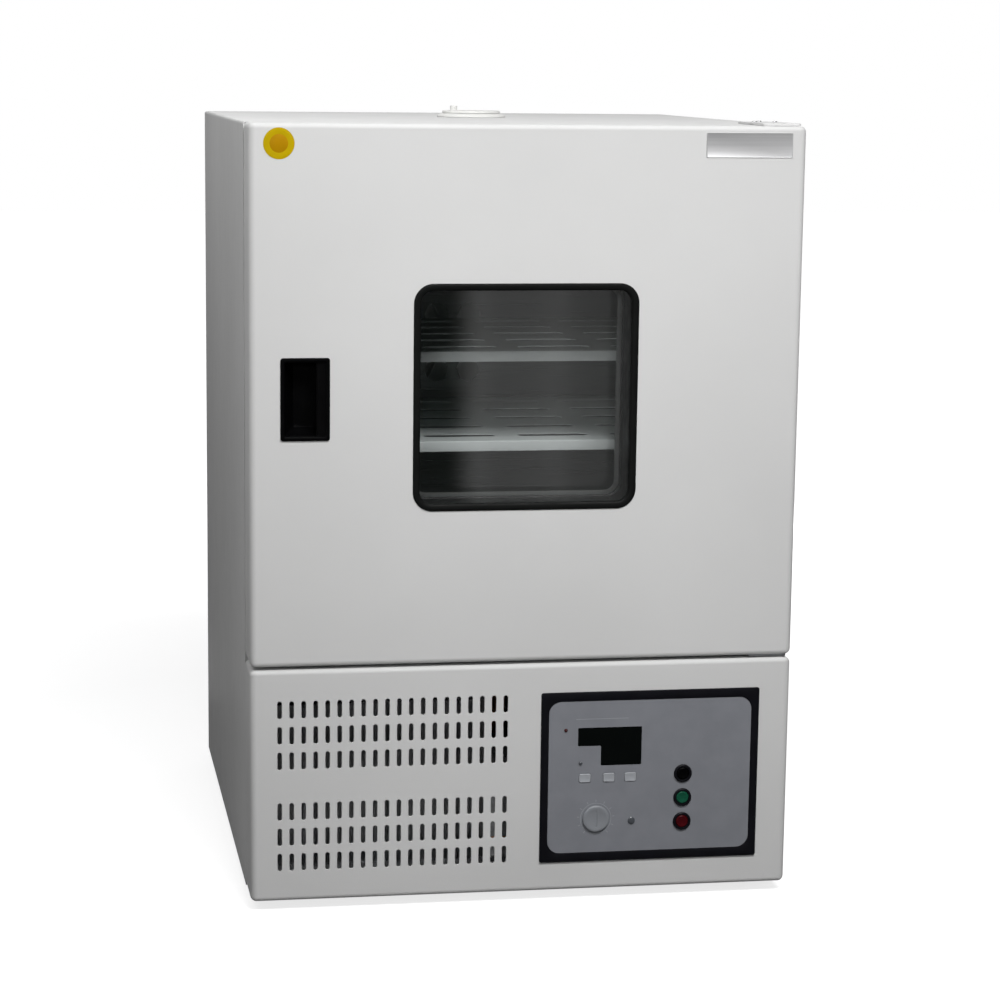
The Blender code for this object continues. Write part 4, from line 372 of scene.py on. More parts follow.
def prism(outlines, low, high, axis):
    """A flat outline with holes, extruded along an axis."""
    curve = bpy.data.curves.new("outline", "CURVE")
    curve.dimensions = "2D"
    curve.fill_mode = "BOTH"
    curve.extrude = (high - low) / 2
    for outline in outlines:
        spline = curve.splines.new("POLY")
        spline.points.add(len(outline) - 1)
        for point, (u, v) in zip(spline.points, outline):
            point.co = (u, v, 0, 1)
        spline.use_cyclic_u = True
    guide = placed("guide", curve)
    mesh = applied(guide)
    bm = bmesh.new()
    bm.from_mesh(mesh)
    bmesh.ops.remove_doubles(bm, verts=bm.verts, dist=1e-6)
    bpy.data.objects.remove(guide)
    bpy.data.meshes.remove(mesh)
    bpy.data.curves.remove(curve)
    for vert in bm.verts:
        u, v, w = vert.co
        vert.co = lay(u, v, (low + high) / 2 + w, axis)
    return bm


def carve(bm, cutters=(), unions=()):
    """The shape with others cut from it or joined to it, as a new bmesh."""
    body = placed("carved", mesh_of(bm))
    helpers = []
    for operation, shapes in (("UNION", unions), ("DIFFERENCE", cutters)):
        for shape in shapes:
            helper = placed("helper", mesh_of(shape))
            helpers.append(helper)
            modifier = body.modifiers.new("carve", "BOOLEAN")
            modifier.operation = operation
            modifier.object = helper
            modifier.solver = "EXACT"
    made = bmesh.new()
    made.from_mesh(applied(body))
    for helper in helpers + [body]:
        bpy.data.objects.remove(helper)
    return made


def merged(*shapes):
    bm = bmesh.new()
    for shape in shapes:
        mesh = bpy.data.meshes.new("part")
        shape.to_mesh(mesh)
        bm.from_mesh(mesh)
        shape.free()
    return bm


def add(name, shape, look, replaces=(), body=CABINET, matrix=None):
    """One visible piece on a body, from a bmesh or a shared mesh."""
    mesh = shape if isinstance(shape, bpy.types.Mesh) else mesh_of(shape, name)
    if not mesh.materials:
        mesh.materials.append(LOOK[look])
    made = placed(name, mesh)
    if matrix is not None:
        made.matrix_world = matrix
    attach(made, body)
    if replaces:
        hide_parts(*replaces)


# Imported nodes' looks

NODES_OF_LOOK = {
    "paint": "outer_casing rear_panel rear_service_cover lower_fascia door_shell hinge_bracket_top",
    "paint_inside": "front_frame",
    "chamber": "chamber_liner air_baffle",
    "shelf": "shelf_lower shelf_upper",
    "steel_y": "shelf_rack_left shelf_rack_right heater_element temperature_probe",
    "steel_z": "door_inner_panel",
    "galvanised": "base_pan compartment_deck circulation_fan_motor condenser_fan_shroud hinge_bracket_bottom",
    "fins": "evaporator condenser circulation_fan",
    "copper": "liquid_line discharge_line suction_line",
    "enamel": "compressor",
    "black": "panel_bezel controller_housing power_inlet switch_body_black switch_body_green switch_body_red",
    "pull": "handle_cup",
    "fan_black": "condenser_fan",
    "black_button": "button_black",
    "green": "button_green",
    "red": "button_red",
    "plate": "panel_plate",
    "dial": "limit_dial",
    "key": "key_left key_middle key_right",
    "display": "display_window",
    "gasket": "door_gasket",
    "rubber": "window_trim foot_front_left foot_front_right foot_rear_left foot_rear_right",
    "spacer": "window_spacer",
    "glass": "window_outer_glass window_inner_glass",
    "foam": "chamber_insulation door_insulation",
    "white": "drain_tube condensate_pan vent_collar vent_damper",
}

for look_name, node_names in NODES_OF_LOOK.items():
    for node_name in node_names.split():
        frame["nodes"][node_name].material_slots[0].material = LOOK[look_name]

# Stage, camera

CAMERA_PLACE = Vector((-0.546, -3.225, 0.942))
CAMERA_YAW, CAMERA_PITCH, CAMERA_ROLL = 0.162, 0.169, 0.01
CAMERA_LENS, CAMERA_SENSOR = 95.75, 36.0
CAMERA_SHIFT = (0.04, 0.02)


def build_camera():
    data = bpy.data.cameras.new("camera")
    data.lens, data.sensor_width = CAMERA_LENS, CAMERA_SENSOR
    data.shift_x, data.shift_y = CAMERA_SHIFT
    camera = placed("camera", data)
    flat = cos(CAMERA_PITCH)
    forward = Vector((sin(CAMERA_YAW) * flat, cos(CAMERA_YAW) * flat, -sin(CAMERA_PITCH)))
    level = Vector((cos(CAMERA_YAW), -sin(CAMERA_YAW), 0))
    upright = level.cross(forward)
    right = level * cos(CAMERA_ROLL) + upright * sin(CAMERA_ROLL)
    up = upright * cos(CAMERA_ROLL) - level * sin(CAMERA_ROLL)
    turn = Matrix((right, up, -forward)).transposed().to_4x4()
    camera.matrix_world = Matrix.Translation(CAMERA_PLACE) @ turn
    bpy.context.scene.camera = camera


def area_light(name, place, target, size, watts, spread=180):
    data = bpy.data.lights.new(name, "AREA")
    data.shape = "RECTANGLE"
    data.size, data.size_y = size
    data.energy = watts
    data.spread = radians(spread)
    light = placed(name, data)
    way = Vector(target) - Vector(place)
    light.matrix_world = Matrix.Translation(place) @ way.to_track_quat("-Z", "Y").to_matrix().to_4x4()
    light.visible_camera = False


AMBIENT = (0.1, 0.1, 0.103)


def grey(tone):
    return (tone, tone, tone, 1.0)


def seen_share(tree):
    """1 where a ray comes from the camera, from gloss or through glass, 0 for soft light."""
    path = new_node(tree, "LightPath")
    share = path.outputs["Is Camera Ray"]
    for name in ("Is Glossy Ray", "Is Transmission Ray"):
        either = new_node(tree, "Math")
        either.operation = "MAXIMUM"
        wire(tree, (share, either.inputs[0]), (path.outputs[name], either.inputs[1]))
        share = either.outputs[0]
    return share


def build_world():
    world = bpy.data.worlds.new("studio")
    bpy.context.scene.world = world
    world.use_nodes = True
    tree = world.node_tree
    background = fill(tree.nodes["Background"], Strength=1.0)
    choose = new_node(tree, "Mix")
    choose.data_type = "RGBA"
    choose.inputs[6].default_value = (*AMBIENT, 1.0)
    choose.inputs[7].default_value = grey(1.0)
    wire(tree, (seen_share(tree), choose.inputs["Factor"]), (choose.outputs[2], background.inputs["Color"]))


def bare_material(staged, name):
    """A new material on a staged object: its emptied tree, and the socket that its surface takes."""
    material = bpy.data.materials.new(name)
    material.use_nodes = True
    tree = material.node_tree
    tree.nodes.clear()
    staged.data.materials.append(material)
    return tree, new_node(tree, "OutputMaterial").inputs["Surface"]


FLOOR_SIZE, FLOOR_DROP = 14.0, 0.0002
PAPER_TONE, SEEN_TONE = 0.22, 0.6


def build_floor():
    """Pale paper that soft light sees darker, and that glows more the farther it lies from the object, so
    that a painted shade lies round the object.
    """
    bm = bmesh.new()
    bmesh.ops.create_grid(bm, x_segments=8, y_segments=8, size=FLOOR_SIZE)
    floor = placed("studio_floor", mesh_of(bm))
    floor.location.z = -FLOOR_DROP
    tree, surface = bare_material(floor, "studio_floor_paper")
    paper = new_node(tree, "BsdfDiffuse", Color=grey(PAPER_TONE))
    seen = new_node(tree, "BsdfDiffuse", Color=grey(SEEN_TONE))
    lift = new_node(tree, "Emission")
    place = new_node(tree, "TexCoord")
    away = new_node(tree, "VectorMath")
    away.operation = "LENGTH"
    # The glow is weaker near the object: a painted shade round it.
    painted_shade_falloff = new_node(tree, "MapRange", From_Min=0.9, From_Max=2.6, To_Min=0.75, To_Max=1.0)
    both = new_node(tree, "AddShader")
    choose = new_node(tree, "MixShader")
    wire(
        tree,
        (place.outputs["Object"], away.inputs[0]),
        (away.outputs["Value"], painted_shade_falloff.inputs["Value"]),
        (painted_shade_falloff.outputs["Result"], lift.inputs["Strength"]),
        (seen.outputs[0], both.inputs[0]),
        (lift.outputs[0], both.inputs[1]),
    )
    wire(
        tree,
        (seen_share(tree), choose.inputs[0]),
        (paper.outputs[0], choose.inputs[1]),
        (both.outputs[0], choose.inputs[2]),
        (choose.outputs[0], surface),
    )


def painted_reflection_card(name, facing, level, low, high, axis, tones):
    """A plain glowing card that only gloss shows, a painted reflection; tones are (place along the axis,
    grey).
    """
    bm = bmesh.new()
    corners = (low, (high[0], low[1]), high, (low[0], high[1]))
    bm.faces.new([bm.verts.new(lay(u, v, level, facing)) for u, v in corners])
    card = placed(name, mesh_of(bm))
    card.visible_camera = card.visible_diffuse = card.visible_shadow = card.visible_transmission = False
    tree, surface = bare_material(card, name)
    start, end = tones[0][0], tones[-1][0]
    painted_reflection_glow = new_node(tree, "Emission")
    place = new_node(tree, "TexCoord")
    split = new_node(tree, "SeparateXYZ")
    along = new_node(tree, "MapRange", From_Min=start, From_Max=end)
    ramp = new_node(tree, "ValToRGB")
    while len(ramp.color_ramp.elements) < len(tones):
        ramp.color_ramp.elements.new(0.5)
    for element, (where, tone) in zip(ramp.color_ramp.elements, tones):
        element.position = (where - start) / (end - start)
        element.color = grey(tone)
    wire(
        tree,
        (place.outputs["Object"], split.inputs[0]),
        (split.outputs[axis], along.inputs["Value"]),
        (along.outputs["Result"], ramp.inputs[0]),
        (ramp.outputs["Color"], painted_reflection_glow.inputs["Color"]),
        (painted_reflection_glow.outputs[0], surface),
    )


# Tones of the painted reflections, each (place along the card's axis, grey).
PAINTED_ROOM_TONES = (
    (-3.0, 0.01), (0.285, 0.01), (0.308, 0.22), (0.325, 0.48), (0.345, 0.48), (0.362, 0.38), (0.462, 0.42),
    (0.482, 0.5), (0.502, 0.5), (0.52, 0.36), (0.613, 0.28), (0.7, 0.12), (3.0, 0.1),
)
PAINTED_TABLE_TONES = ((-3.0, 0.13), (3.0, 0.13))
PAINTED_LEFT_TONES = ((0.0, 0.02), (0.45, 0.06), (0.9, 0.22), (1.5, 0.3))
PAINTED_RIGHT_TONES = ((0.0, 0.02), (1.5, 0.04))


def build_painted_reflections():
    """Painted reflections: glowing cards that only gloss shows, standing for a dim room in front, a dark
    table top, and a dark flag on either side of the object.
    """
    painted_reflection_card("painted_room_reflection", "Y", -2.6, (-3.0, 0.0), (3.0, 2.6), "X", PAINTED_ROOM_TONES)
    painted_reflection_card("painted_table_reflection", "Z", 0.0004, (-3.0, -2.6), (3.0, 0.7), "X", PAINTED_TABLE_TONES)
    painted_reflection_card("painted_flag_reflection_left", "X", -0.45, (-0.1, 0.0), (3.4, 1.5), "Z", PAINTED_LEFT_TONES)
    painted_reflection_card("painted_flag_reflection_right", "X", 0.75, (-0.9, 0.0), (0.6, 1.5), "Z", PAINTED_RIGHT_TONES)


build_camera()
build_world()
build_floor()
build_painted_reflections()
area_light("key_light", (0.3, -2.1, 2.6), (0.0, -0.2, 0.5), (1.4, 0.9), 75.0)
area_light("fill_light", (-1.05, -2.75, 1.25), (0.04, -0.25, 0.62), (0.5, 0.3), 0.5, 32)
area_light("side_light", (-1.0, 0.05, 1.55), (-0.31, 0.0, 0.55), (0.4, 0.7), 5.2)
area_light("back_light", (1.0, 2.4, 0.44), (0.1, 0.2, 0.44), (1.2, 0.7), 14.0)

# Cabinet

SHEET, CHAMFER = 0.0012, 0.0004
SIDE_EDGE, LEVEL_EDGE, FOLD_CORNER = 0.0075, 0.005, 0.0065
INNER_EDGE, INNER_CORNER = 0.0042, 0.0045
FLAT_BORDER, LEAST_CORNER = 0.0012, 0.0015

GRILLE_COLUMNS = 20
GRILLE_ROWS = (-3, -2, -1, 1, 2, 3)
GRILLE_START, GRILLE_PITCH, GRILLE_RISE = 0.03283, 0.01347, 0.0293
GRILLE_SLOT = (0.005, 0.02, 0.00249)

BEZEL_LAP, TRIM_LAP, PULL_LAP = 0.006, 0.013, 0.0068
PIN_RADIUS, PIN_HOLE, PIN_DEPTH = 0.004, 0.0043, 0.004
SCREW_INSET = 0.02
SCREW_LOOK = "bright"


def build_feet():
    for end in ("front", "rear"):
        for side in ("left", "right"):
            node = f"foot_{end}_{side}"
            low, high, middle = span(node)
            wide = (high.x - low.x) / 2
            tall = high.z - low.z
            profile = [
                (0, 0.0008), (wide * 0.3, 0.0008), (wide * 0.34, 0), (wide * 0.82, 0),
                (wide * 0.88, 0.0012), (wide * 0.9, 0.0035), (wide * 0.93, tall * 0.5),
                (wide * 0.955, tall * 0.52), (wide * 0.96, tall * 0.62), (wide * 0.985, tall * 0.66),
                (wide, tall - 0.0012), (wide - 0.0006, tall), (0, tall),
            ]
            foot = lathe(profile, (middle.x, middle.y, low.z), "Z", 40)
            add(f"rubber_{node}", foot, "rubber", (node,))


def screw_mesh(radius, height):
    """A pan-head screw with a cross recess, on the plane z = 0."""
    profile = [(0, height)]
    for angle in (20, 40, 58, 74, 90):
        a = radians(angle)
        profile.append((radius * sin(a), height * (0.35 + 0.65 * cos(a))))
    profile += [(radius, 0), (0, 0)]
    bars = []
    for long, short in ((0.62, 0.13), (0.13, 0.62)):
        bar = [
            (0, 0, 2 * radius * short * 0.8, 2 * radius * long * 0.7, 0.0001, height * 0.45),
            (0, 0, 2 * radius * short, 2 * radius * long, 0.0001, height * 1.3),
        ]
        bars.append(stack(bar, "Z", 1))
    mesh = mesh_of(carve(lathe(profile, (0, 0, 0), "Z", 20), bars), "screw_head")
    mesh.materials.append(LOOK[SCREW_LOOK])
    return mesh


TOWARDS = {"+Z": Matrix.Identity(4), "+Y": Matrix.Rotation(-pi / 2, 4, "X")}


def screws(name, mesh, places, way, body=CABINET):
    """Copies of a screw, each with its recess turned to another angle."""
    for index, place in enumerate(places):
        turn = Matrix.Rotation(radians(37 * index + 11), 4, "Z")
        matrix = Matrix.Translation(place) @ TOWARDS[way] @ turn
        add(f"{name}_{index + 1}", mesh, SCREW_LOOK, (), body, matrix)


def drawn_in(depth, radius):
    """How far a quarter-round edge lies inside its side at a depth behind the flat face."""
    return radius - sqrt(radius**2 - max(radius - depth, 0) ** 2)


def folded_sheet(low, high, cutters):
    """Painted sheet folded back on four sides, its upright edges rounder than the level ones."""
    middle = (low + high) / 2
    rows = []
    for offset, edge_u, edge_v, corner in (
        (0, SIDE_EDGE, LEVEL_EDGE, FOLD_CORNER),
        (SHEET, INNER_EDGE, INNER_EDGE, INNER_CORNER),
    ):
        wide, tall = high.x - low.x - 2 * offset, high.z - low.z - 2 * offset
        flat_w, flat_h = wide - 2 * edge_u - FLAT_BORDER, tall - 2 * edge_v - FLAT_BORDER
        rings = [(flat_w, flat_h, LEAST_CORNER, low.y + offset)]
        for angle in range(0, 91, 15):
            depth = edge_u * (1 - cos(radians(angle)))
            in_u, in_v = drawn_in(depth, edge_u), drawn_in(depth, edge_v)
            round_off = max(corner - (in_u + in_v) / 2, LEAST_CORNER)
            rings.append((wide - 2 * in_u, tall - 2 * in_v, round_off, low.y + offset + depth))
        rings.append((wide, tall, corner, high.y))
        side = [[lay(u, v, y, "Y") for u, v in rect(middle.x, middle.z, w, h, r)] for w, h, r, y in rings]
        rows += side if offset == 0.0 else side[::-1]
    return carve(skin(rows), cutters)


def punched(cu, cv, width, height, radius, face):
    """A punch whose edge leaves a small chamfer on the sheet's face."""
    rings = []
    for grow, level in ((CHAMFER, -0.0006), (CHAMFER, 0), (0, CHAMFER), (0, 2.5 * SHEET)):
        rings.append((cu, cv, width + 2 * grow, height + 2 * grow, radius + grow, face + level))
    return stack(rings, "Y", 4)


def build_fascia_skin():
    low, high, middle = span("lower_fascia")
    panel_low, panel_high, panel_middle = span("panel_bezel")
    punches = []
    for column in range(GRILLE_COLUMNS):
        for row in GRILLE_ROWS:
            x, z = low.x + GRILLE_START + GRILLE_PITCH * column, middle.z + GRILLE_RISE * row
            punches.append(punched(x, z, *GRILLE_SLOT, low.y))
    wide, tall = panel_high.x - panel_low.x - BEZEL_LAP, panel_high.z - panel_low.z - BEZEL_LAP
    punches.append(punched(panel_middle.x, panel_middle.z, wide, tall, 0.002, low.y))
    plate_low, plate_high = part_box("hinge_bracket_bottom")
    notch_x, notch_w = (plate_low.x + plate_high.x) / 2, plate_high.x - plate_low.x + 2 * FIT
    notch = (notch_x, high.z - 0.0006, notch_w, 0.0036, 0.0001)
    punches.append(stack([(*notch, high.y - 0.0034), (*notch, high.y + SHEET)], "Y", 1))
    add("fascia_skin", folded_sheet(low, high, (merged(*punches),)), "paint", ("lower_fascia",))


def build_door_skin():
    low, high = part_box("door_shell")
    trim, pull = span("window_trim"), span("handle_cup")
    opening = trim[1].x - trim[0].x - TRIM_LAP
    pocket_w, pocket_h = pull[1].x - pull[0].x - PULL_LAP, pull[1].z - pull[0].z - PULL_LAP
    cutters = [
        punched(trim[2].x, trim[2].z, opening, opening, 0.0158, low.y),
        punched(pull[2].x, pull[2].z, pocket_w, pocket_h, 0.0033, low.y),
    ]
    pin = hinge_place()
    for level in (low.z, high.z):
        cutters.append(rod(PIN_HOLE, level - PIN_DEPTH, level + PIN_DEPTH, (pin.x, pin.y, 0)))
    add("door_skin", folded_sheet(low, high, (merged(*cutters),)), "paint", ("door_shell",), DOOR)


def build_hinge_plate():
    """The roof's plate with the pin that it holds. The lower bracket stays as it is packed."""
    low, high, middle = span("hinge_bracket_top")
    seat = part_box("outer_casing")[1].z + FIT
    shape = pad(middle.x, middle.y, high.x - low.x, high.y - low.y, 0.006, high.z, seat, 0.0008, "Z")
    top = high.z - 0.001
    profile = [(0, low.z), (0.0034, low.z), (PIN_RADIUS, low.z + 0.0008), (PIN_RADIUS, top), (0, top)]
    place = hinge_place()
    pin = lathe(profile, (place.x, place.y, 0), "Z", 24)
    add("top_hinge_plate", carve(shape, (), (pin,)), "paint", ("hinge_bracket_top",))
    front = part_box("front_frame")[0].y
    shifts = ((-0.012, 0.018), (0.012, 0.018), (0, 0.042))
    places = [(middle.x + dx, front + dy, high.z) for dx, dy in shifts]
    screws("top_hinge_screw", SCREW_SMALL, places, "+Z")


def hinge_place():
    joint = next(joint for joint in frame["joints"] if joint["name"] == "door_hinge")
    return Vector(joint["pos_m"])


def build_rear_screws():
    low, high, middle = span("rear_service_cover")
    face = low.y + SHEET
    xs = (low.x + SCREW_INSET, low.x + 0.2, high.x - 0.2, high.x - SCREW_INSET)
    places = [(x, face, z) for z in (low.z + SCREW_INSET, high.z - SCREW_INSET) for x in xs]
    screws("cover_screw", SCREW_BIG, places, "+Y")
    low, high, middle = span("rear_panel")
    between = high.z - low.z - 2 * SCREW_INSET
    zs = [low.z + SCREW_INSET + between * share for share in (0, 0.33, 0.67, 1)]
    places = [(x, face, z) for x in (low.x + SCREW_INSET, high.x - SCREW_INSET) for z in zs]
    places += [(middle.x, face, z) for z in (zs[0], zs[-1])]
    screws("rear_panel_screw", SCREW_BIG, places, "+Y")


def build_inlet_pins():
    middle = span("power_inlet")[2]
    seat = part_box("rear_service_cover")[0].y + SHEET + FIT
    near, far = seat - 0.0036, seat - 0.0192
    for index, (dx, dz) in enumerate(((-0.007, -0.002), (0, 0.004), (0.007, -0.002))):
        shape = pad(middle.x + dx, middle.z + dz, 0.0024, 0.0064, 0.0006, near, far, 0.0005)
        add(f"inlet_pin_{index + 1}", shape, "brass")


def vent_holes(low, high, turn):
    """Three cutters in a ring, turned by an angle in degrees."""
    holes = []
    middle = span("vent_collar")[2]
    for index in range(3):
        angle = radians(turn + 120 * index)
        place = (middle.x + 0.0095 * cos(angle), middle.y + 0.0095 * sin(angle), 0)
        holes.append(rod(0.0042, low, high, place))
    return holes


def build_vent():
    """The collar on the roof, and its turning cover, whose holes meet the collar's when it is open."""
    low, high, middle = span("vent_collar")
    centre = (middle.x, middle.y, 0)
    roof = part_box("outer_casing")[1].z + FIT
    wide = (high.x - low.x) / 2
    bore, pipe = 0.017, 0.019
    web = high.z - 0.0025
    profile = [
        (0, high.z), (wide - 0.0062, high.z), (wide - 0.004, high.z - 0.0005),
        (wide - 0.0012, high.z - 0.0022), (wide, high.z - 0.0036), (wide, roof), (pipe, roof),
        (pipe, low.z), (bore, low.z), (bore, web), (0, web),
    ]
    collar = carve(lathe(profile, centre, "Z", 64), vent_holes(web - 0.002, high.z + 0.002, 0))
    add("vent_port", collar, "white", ("vent_collar",))
    low, high, middle = span("vent_damper")
    wide = (high.x - low.x) / 2
    top = low.z + 0.003
    profile = [
        (0, low.z), (wide - 0.0004, low.z), (wide, low.z + 0.0004), (wide, low.z + 0.0014),
        (wide - 0.0006, low.z + 0.0024), (wide - 0.002, top), (wide - 0.005, top),
        (wide - 0.006, top - 0.0005), (0.0185, top - 0.0005), (0.0175, top), (0, top),
    ]
    disc = lathe(profile, centre, "Z", 64)
    knob = [
        (0, low.z + 0.001), (0.0046, low.z + 0.001), (0.0042, top + 0.0018), (0.0046, high.z - 0.0014),
        (0.0043, high.z - 0.0005), (0.0034, high.z), (0, high.z),
    ]
    grip = lathe(knob, (middle.x - 0.022, middle.y, 0), "Z", 32)
    disc = carve(disc, vent_holes(low.z - 0.001, top + 0.001, 60), (grip,))
    add("vent_cover", disc, "white", ("vent_damper",), "vent_damper")


# Door


def build_window():
    low, high, middle = span("window_trim")
    size = high.x - low.x
    front, back = low.y, high.y
    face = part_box("door_shell")[0].y
    cut_size = size - TRIM_LAP - 2 * FIT
    rings = [
        (size - 0.0004, 0.0218, face - FIT), (size, 0.022, face - 0.0006),
        (size - 0.0006, 0.0217, face - 0.0011), (size - 0.0024, 0.0208, front + 0.0001),
        (size - 0.006, 0.019, front), (size - 0.0112, 0.0164, front + 0.0002),
        (size - 0.0142, 0.0149, front + 0.0008), (size - 0.0156, 0.0142, face - 0.0004),
        (size - 0.0156, 0.0142, back), (cut_size, 0.0155, back), (cut_size, 0.0155, face - FIT),
    ]
    trim = square_stack(middle, rings, 12)
    add("window_rubber", trim, "rubber", ("window_trim",), DOOR)
    for node, name in (("window_outer_glass", "outer_pane"), ("window_inner_glass", "inner_pane")):
        low, high, middle = span(node)
        wide = high.x - low.x
        pane = pad(middle.x, middle.z, wide, wide, 0.022, low.y, high.y, 0.0006, "Y", 10)
        add(name, pane, "glass", (node,), DOOR)


def build_window_spacer():
    """The tunnel between the panes, with the desiccant bar's edge showing at both ends."""
    low, high, middle = span("window_spacer")
    wide = high.x - low.x
    bore = wide - 0.012
    rings = []
    for share, inset in ((0, 0), (0.12, 0), (0.14, 0.0012), (0.86, 0.0012), (0.88, 0), (1.0, 0)):
        rings.append((bore + 2 * inset, 0.016, low.y + (high.y - low.y) * share))
    rings += [(wide, 0.022, high.y), (wide, 0.022, low.y)]
    add("pane_spacer", square_stack(middle, rings, 10), "spacer", ("window_spacer",), DOOR)


def build_handle():
    """Moulded pull: a frame, a pocket with a ramp and a foot slope, and a lip that hides an undercut."""
    low, high, middle = span("handle_cup")
    face, deep = low.y, high.y
    cx, cz = middle.x, middle.z
    width, height = high.x - low.x, high.z - low.z
    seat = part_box("door_shell")[0].y - FIT
    room_w, room_h = width - 0.01, height - 0.01
    lip = 0.01
    outer, room, rear = (width, height), (room_w, room_h), (width - 2 * 0.0037, height - 2 * 0.0037)
    floor_y = deep - 0.002
    mouth_x, mouth_w = cx - lip / 2, room_w - lip
    ramp, slope = 0.011, 0.007
    rim = shrunk(
        (rear, 0.003, 0.002, deep), (rear, 0, 0.003, deep - 0.0015), (rear, 0, 0.003, seat),
        (outer, 0, 0.003, seat), (outer, 0, 0.003, face + 0.0009), (outer, 0.0005, 0.0028, face + 0.0003),
        (outer, 0.0018, 0.0022, face), (outer, 0.0072, 0.003, face), (outer, 0.0084, 0.0028, face + 0.0003),
        (room, -0.0006, 0.0026, face + 0.0012),
    )
    rings = [(cx, cz, *ring) for ring in rim]
    for x, wide, tall, radius, depth in (
        (mouth_x + 0.0004, mouth_w + 0.0016, room_h + 0.0002, 0.0026, 0.0013),
        (mouth_x, mouth_w + 0.0004, room_h, 0.0025, 0.0019), (mouth_x, mouth_w, room_h, 0.0025, 0.003),
        (mouth_x, mouth_w + 0.0006, room_h, 0.0025, 0.0044),
        (mouth_x + 0.0006, mouth_w + 0.003, room_h, 0.0025, 0.0048),
        (cx - 0.0005, room_w - 0.001, room_h, 0.0025, 0.005), (cx, room_w, room_h, 0.0025, 0.006),
    ):
        rings.append((x, cz, wide, tall, radius, face + depth))
    for shift, less_w, less_h, radius, level in (
        (0.44, 0.88, 0.88, 0.0035, floor_y - 0.0022), (0.5, 1, 1, 0.0035, floor_y - 0.0008),
        (0.54, 1.12, 1.2, 0.003, floor_y),
    ):
        wide, tall = room_w - ramp * less_w, room_h - slope * less_h
        rings.append((cx + ramp * shift, cz + slope * shift, wide, tall, radius, level))
    add("pull_moulding", stack(rings), "pull", ("handle_cup",), DOOR)


def build_door_marks():
    """A plain metal plate at the upper right and a plain round sticker at the upper left."""
    low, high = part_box("door_shell")
    face = low.y
    rings = [
        (0.0985, 0.0274, 0.0012, face - 0.0001), (0.0985, 0.0274, 0.0012, face - 0.0005),
        (0.0981, 0.027, 0.001, face - 0.0007), (0.0973, 0.0262, 0.0008, face - 0.0007),
        (0.097, 0.0259, 0.0007, face - 0.0006),
    ]
    plate = stack([(0.2446, high.z - 0.0211, *ring) for ring in rings], "Y", 4)
    add("door_plain_plate", plate, "badge", body=DOOR)
    place = (-0.277, 0, high.z - 0.0216)
    ring = [
        (0, face - 0.0001), (0.017, face - 0.0001), (0.017, face - 0.00025), (0.0168, face - 0.0003),
        (0.0104, face - 0.0003), (0.0102, face - 0.00026), (0, face - 0.00026),
    ]
    add("round_sticker", lathe(ring, place, "Y", 64), "sticker", body=DOOR)
    near, far = face - 0.00028, face - 0.00036
    core = [(0, near), (0.01, near), (0.0098, far), (0, far)]
    add("round_sticker_middle", lathe(core, place, "Y", 56), "sticker_middle", body=DOOR)


def build_door_inside():
    """Pressed inner skin with a raised field, and a frame round the inner pane."""
    low, high, middle = span("door_inner_panel")
    wide, tall = high.x - low.x, high.z - low.z
    front, back = low.y, high.y
    low, high, pane = span("window_inner_glass")
    hole = high.x - low.x - 0.02
    raised, inset, ramp = 0.0028, 0.046, 0.006
    plateau = back + raised
    size, edge, field = (wide, tall), 2 * inset, 2 * inset + 2 * ramp
    border = shrunk(
        (size, 0, 0.004, front), (size, 0, 0.004, back), (size, edge - 0.003, 0.017, back),
        (size, edge, 0.016, back), (size, edge + 0.003, 0.015, back + 0.0004),
        (size, field - 0.003, 0.013, plateau - 0.0004), (size, field, 0.012, plateau),
        (size, field + 0.003, 0.011, plateau),
    )
    rings = [(0, middle.z, *ring) for ring in border]
    for grow, radius, level in (
        (0.073, 0.031, plateau), (0.07, 0.03, plateau), (0.064, 0.028, back + 0.0002),
        (0, 0.012, back), (0, 0.012, front), (0.064, 0.028, front),
    ):
        rings.append((pane.x, pane.z, hole + grow, hole + grow, radius, level))
    rings.append((0, middle.z, wide - 2 * inset, tall - 2 * inset, 0.016, front))
    add("pressed_inner_skin", stack(rings, "Y", 8, True), "steel_z", ("door_inner_panel",), DOOR)
    clamp = [
        (hole + 0.044, 0.024, back + 0.0002), (hole + 0.044, 0.024, back + 0.0012),
        (hole + 0.042, 0.023, back + 0.0018), (hole + 0.002, 0.012, back + 0.0018),
        (hole, 0.011, back + 0.0012), (hole, 0.011, back + 0.0002),
    ]
    add("inner_pane_frame", square_stack(pane, clamp, 8), "steel_x", body=DOOR)
    reach = (hole + 0.022) / 2
    places = []
    for share in (-0.8, 0, 0.8):
        for side in (-1, 1):
            places.append((pane.x + share * reach, back + 0.0018, pane.z + side * reach))
            if share == 0.0:
                places.append((pane.x + side * reach, back + 0.0018, pane.z))
    screws("pane_frame_screw", SCREW_SMALL, places, "+Y", DOOR)


def build_gasket():
    """A folded rubber seal on the inner skin."""
    low, high, middle = span("door_gasket")
    wide, tall = high.x - low.x, high.z - low.z
    near, far = low.y, high.y
    body = 0.014
    profile = [
        (0.0015, near), (0, near + 0.0006), (0, near + 0.0012), (0.0026, near + 0.0019),
        (0.0028, near + 0.0024), (0.0006, near + 0.0033), (0.0004, far - 0.001), (0.0014, far - 0.0002),
        (0.0028, far), (body - 0.0032, far), (body - 0.0018, far - 0.0003), (body - 0.001, far - 0.0012),
        (body - 0.0012, near + 0.0032), (body - 0.0034, near + 0.0024), (body - 0.0032, near + 0.0019),
        (body, near + 0.0011), (body, near + 0.0005), (body - 0.0012, near),
    ]
    rows = []
    for inset, level in profile:
        rows.append((0, middle.z, wide - 2 * inset, tall - 2 * inset, 0.016 - inset * 0.7, level))
    add("folded_seal", stack(rows, "Y", 8, True), "gasket", ("door_gasket",), DOOR)


# Control panel

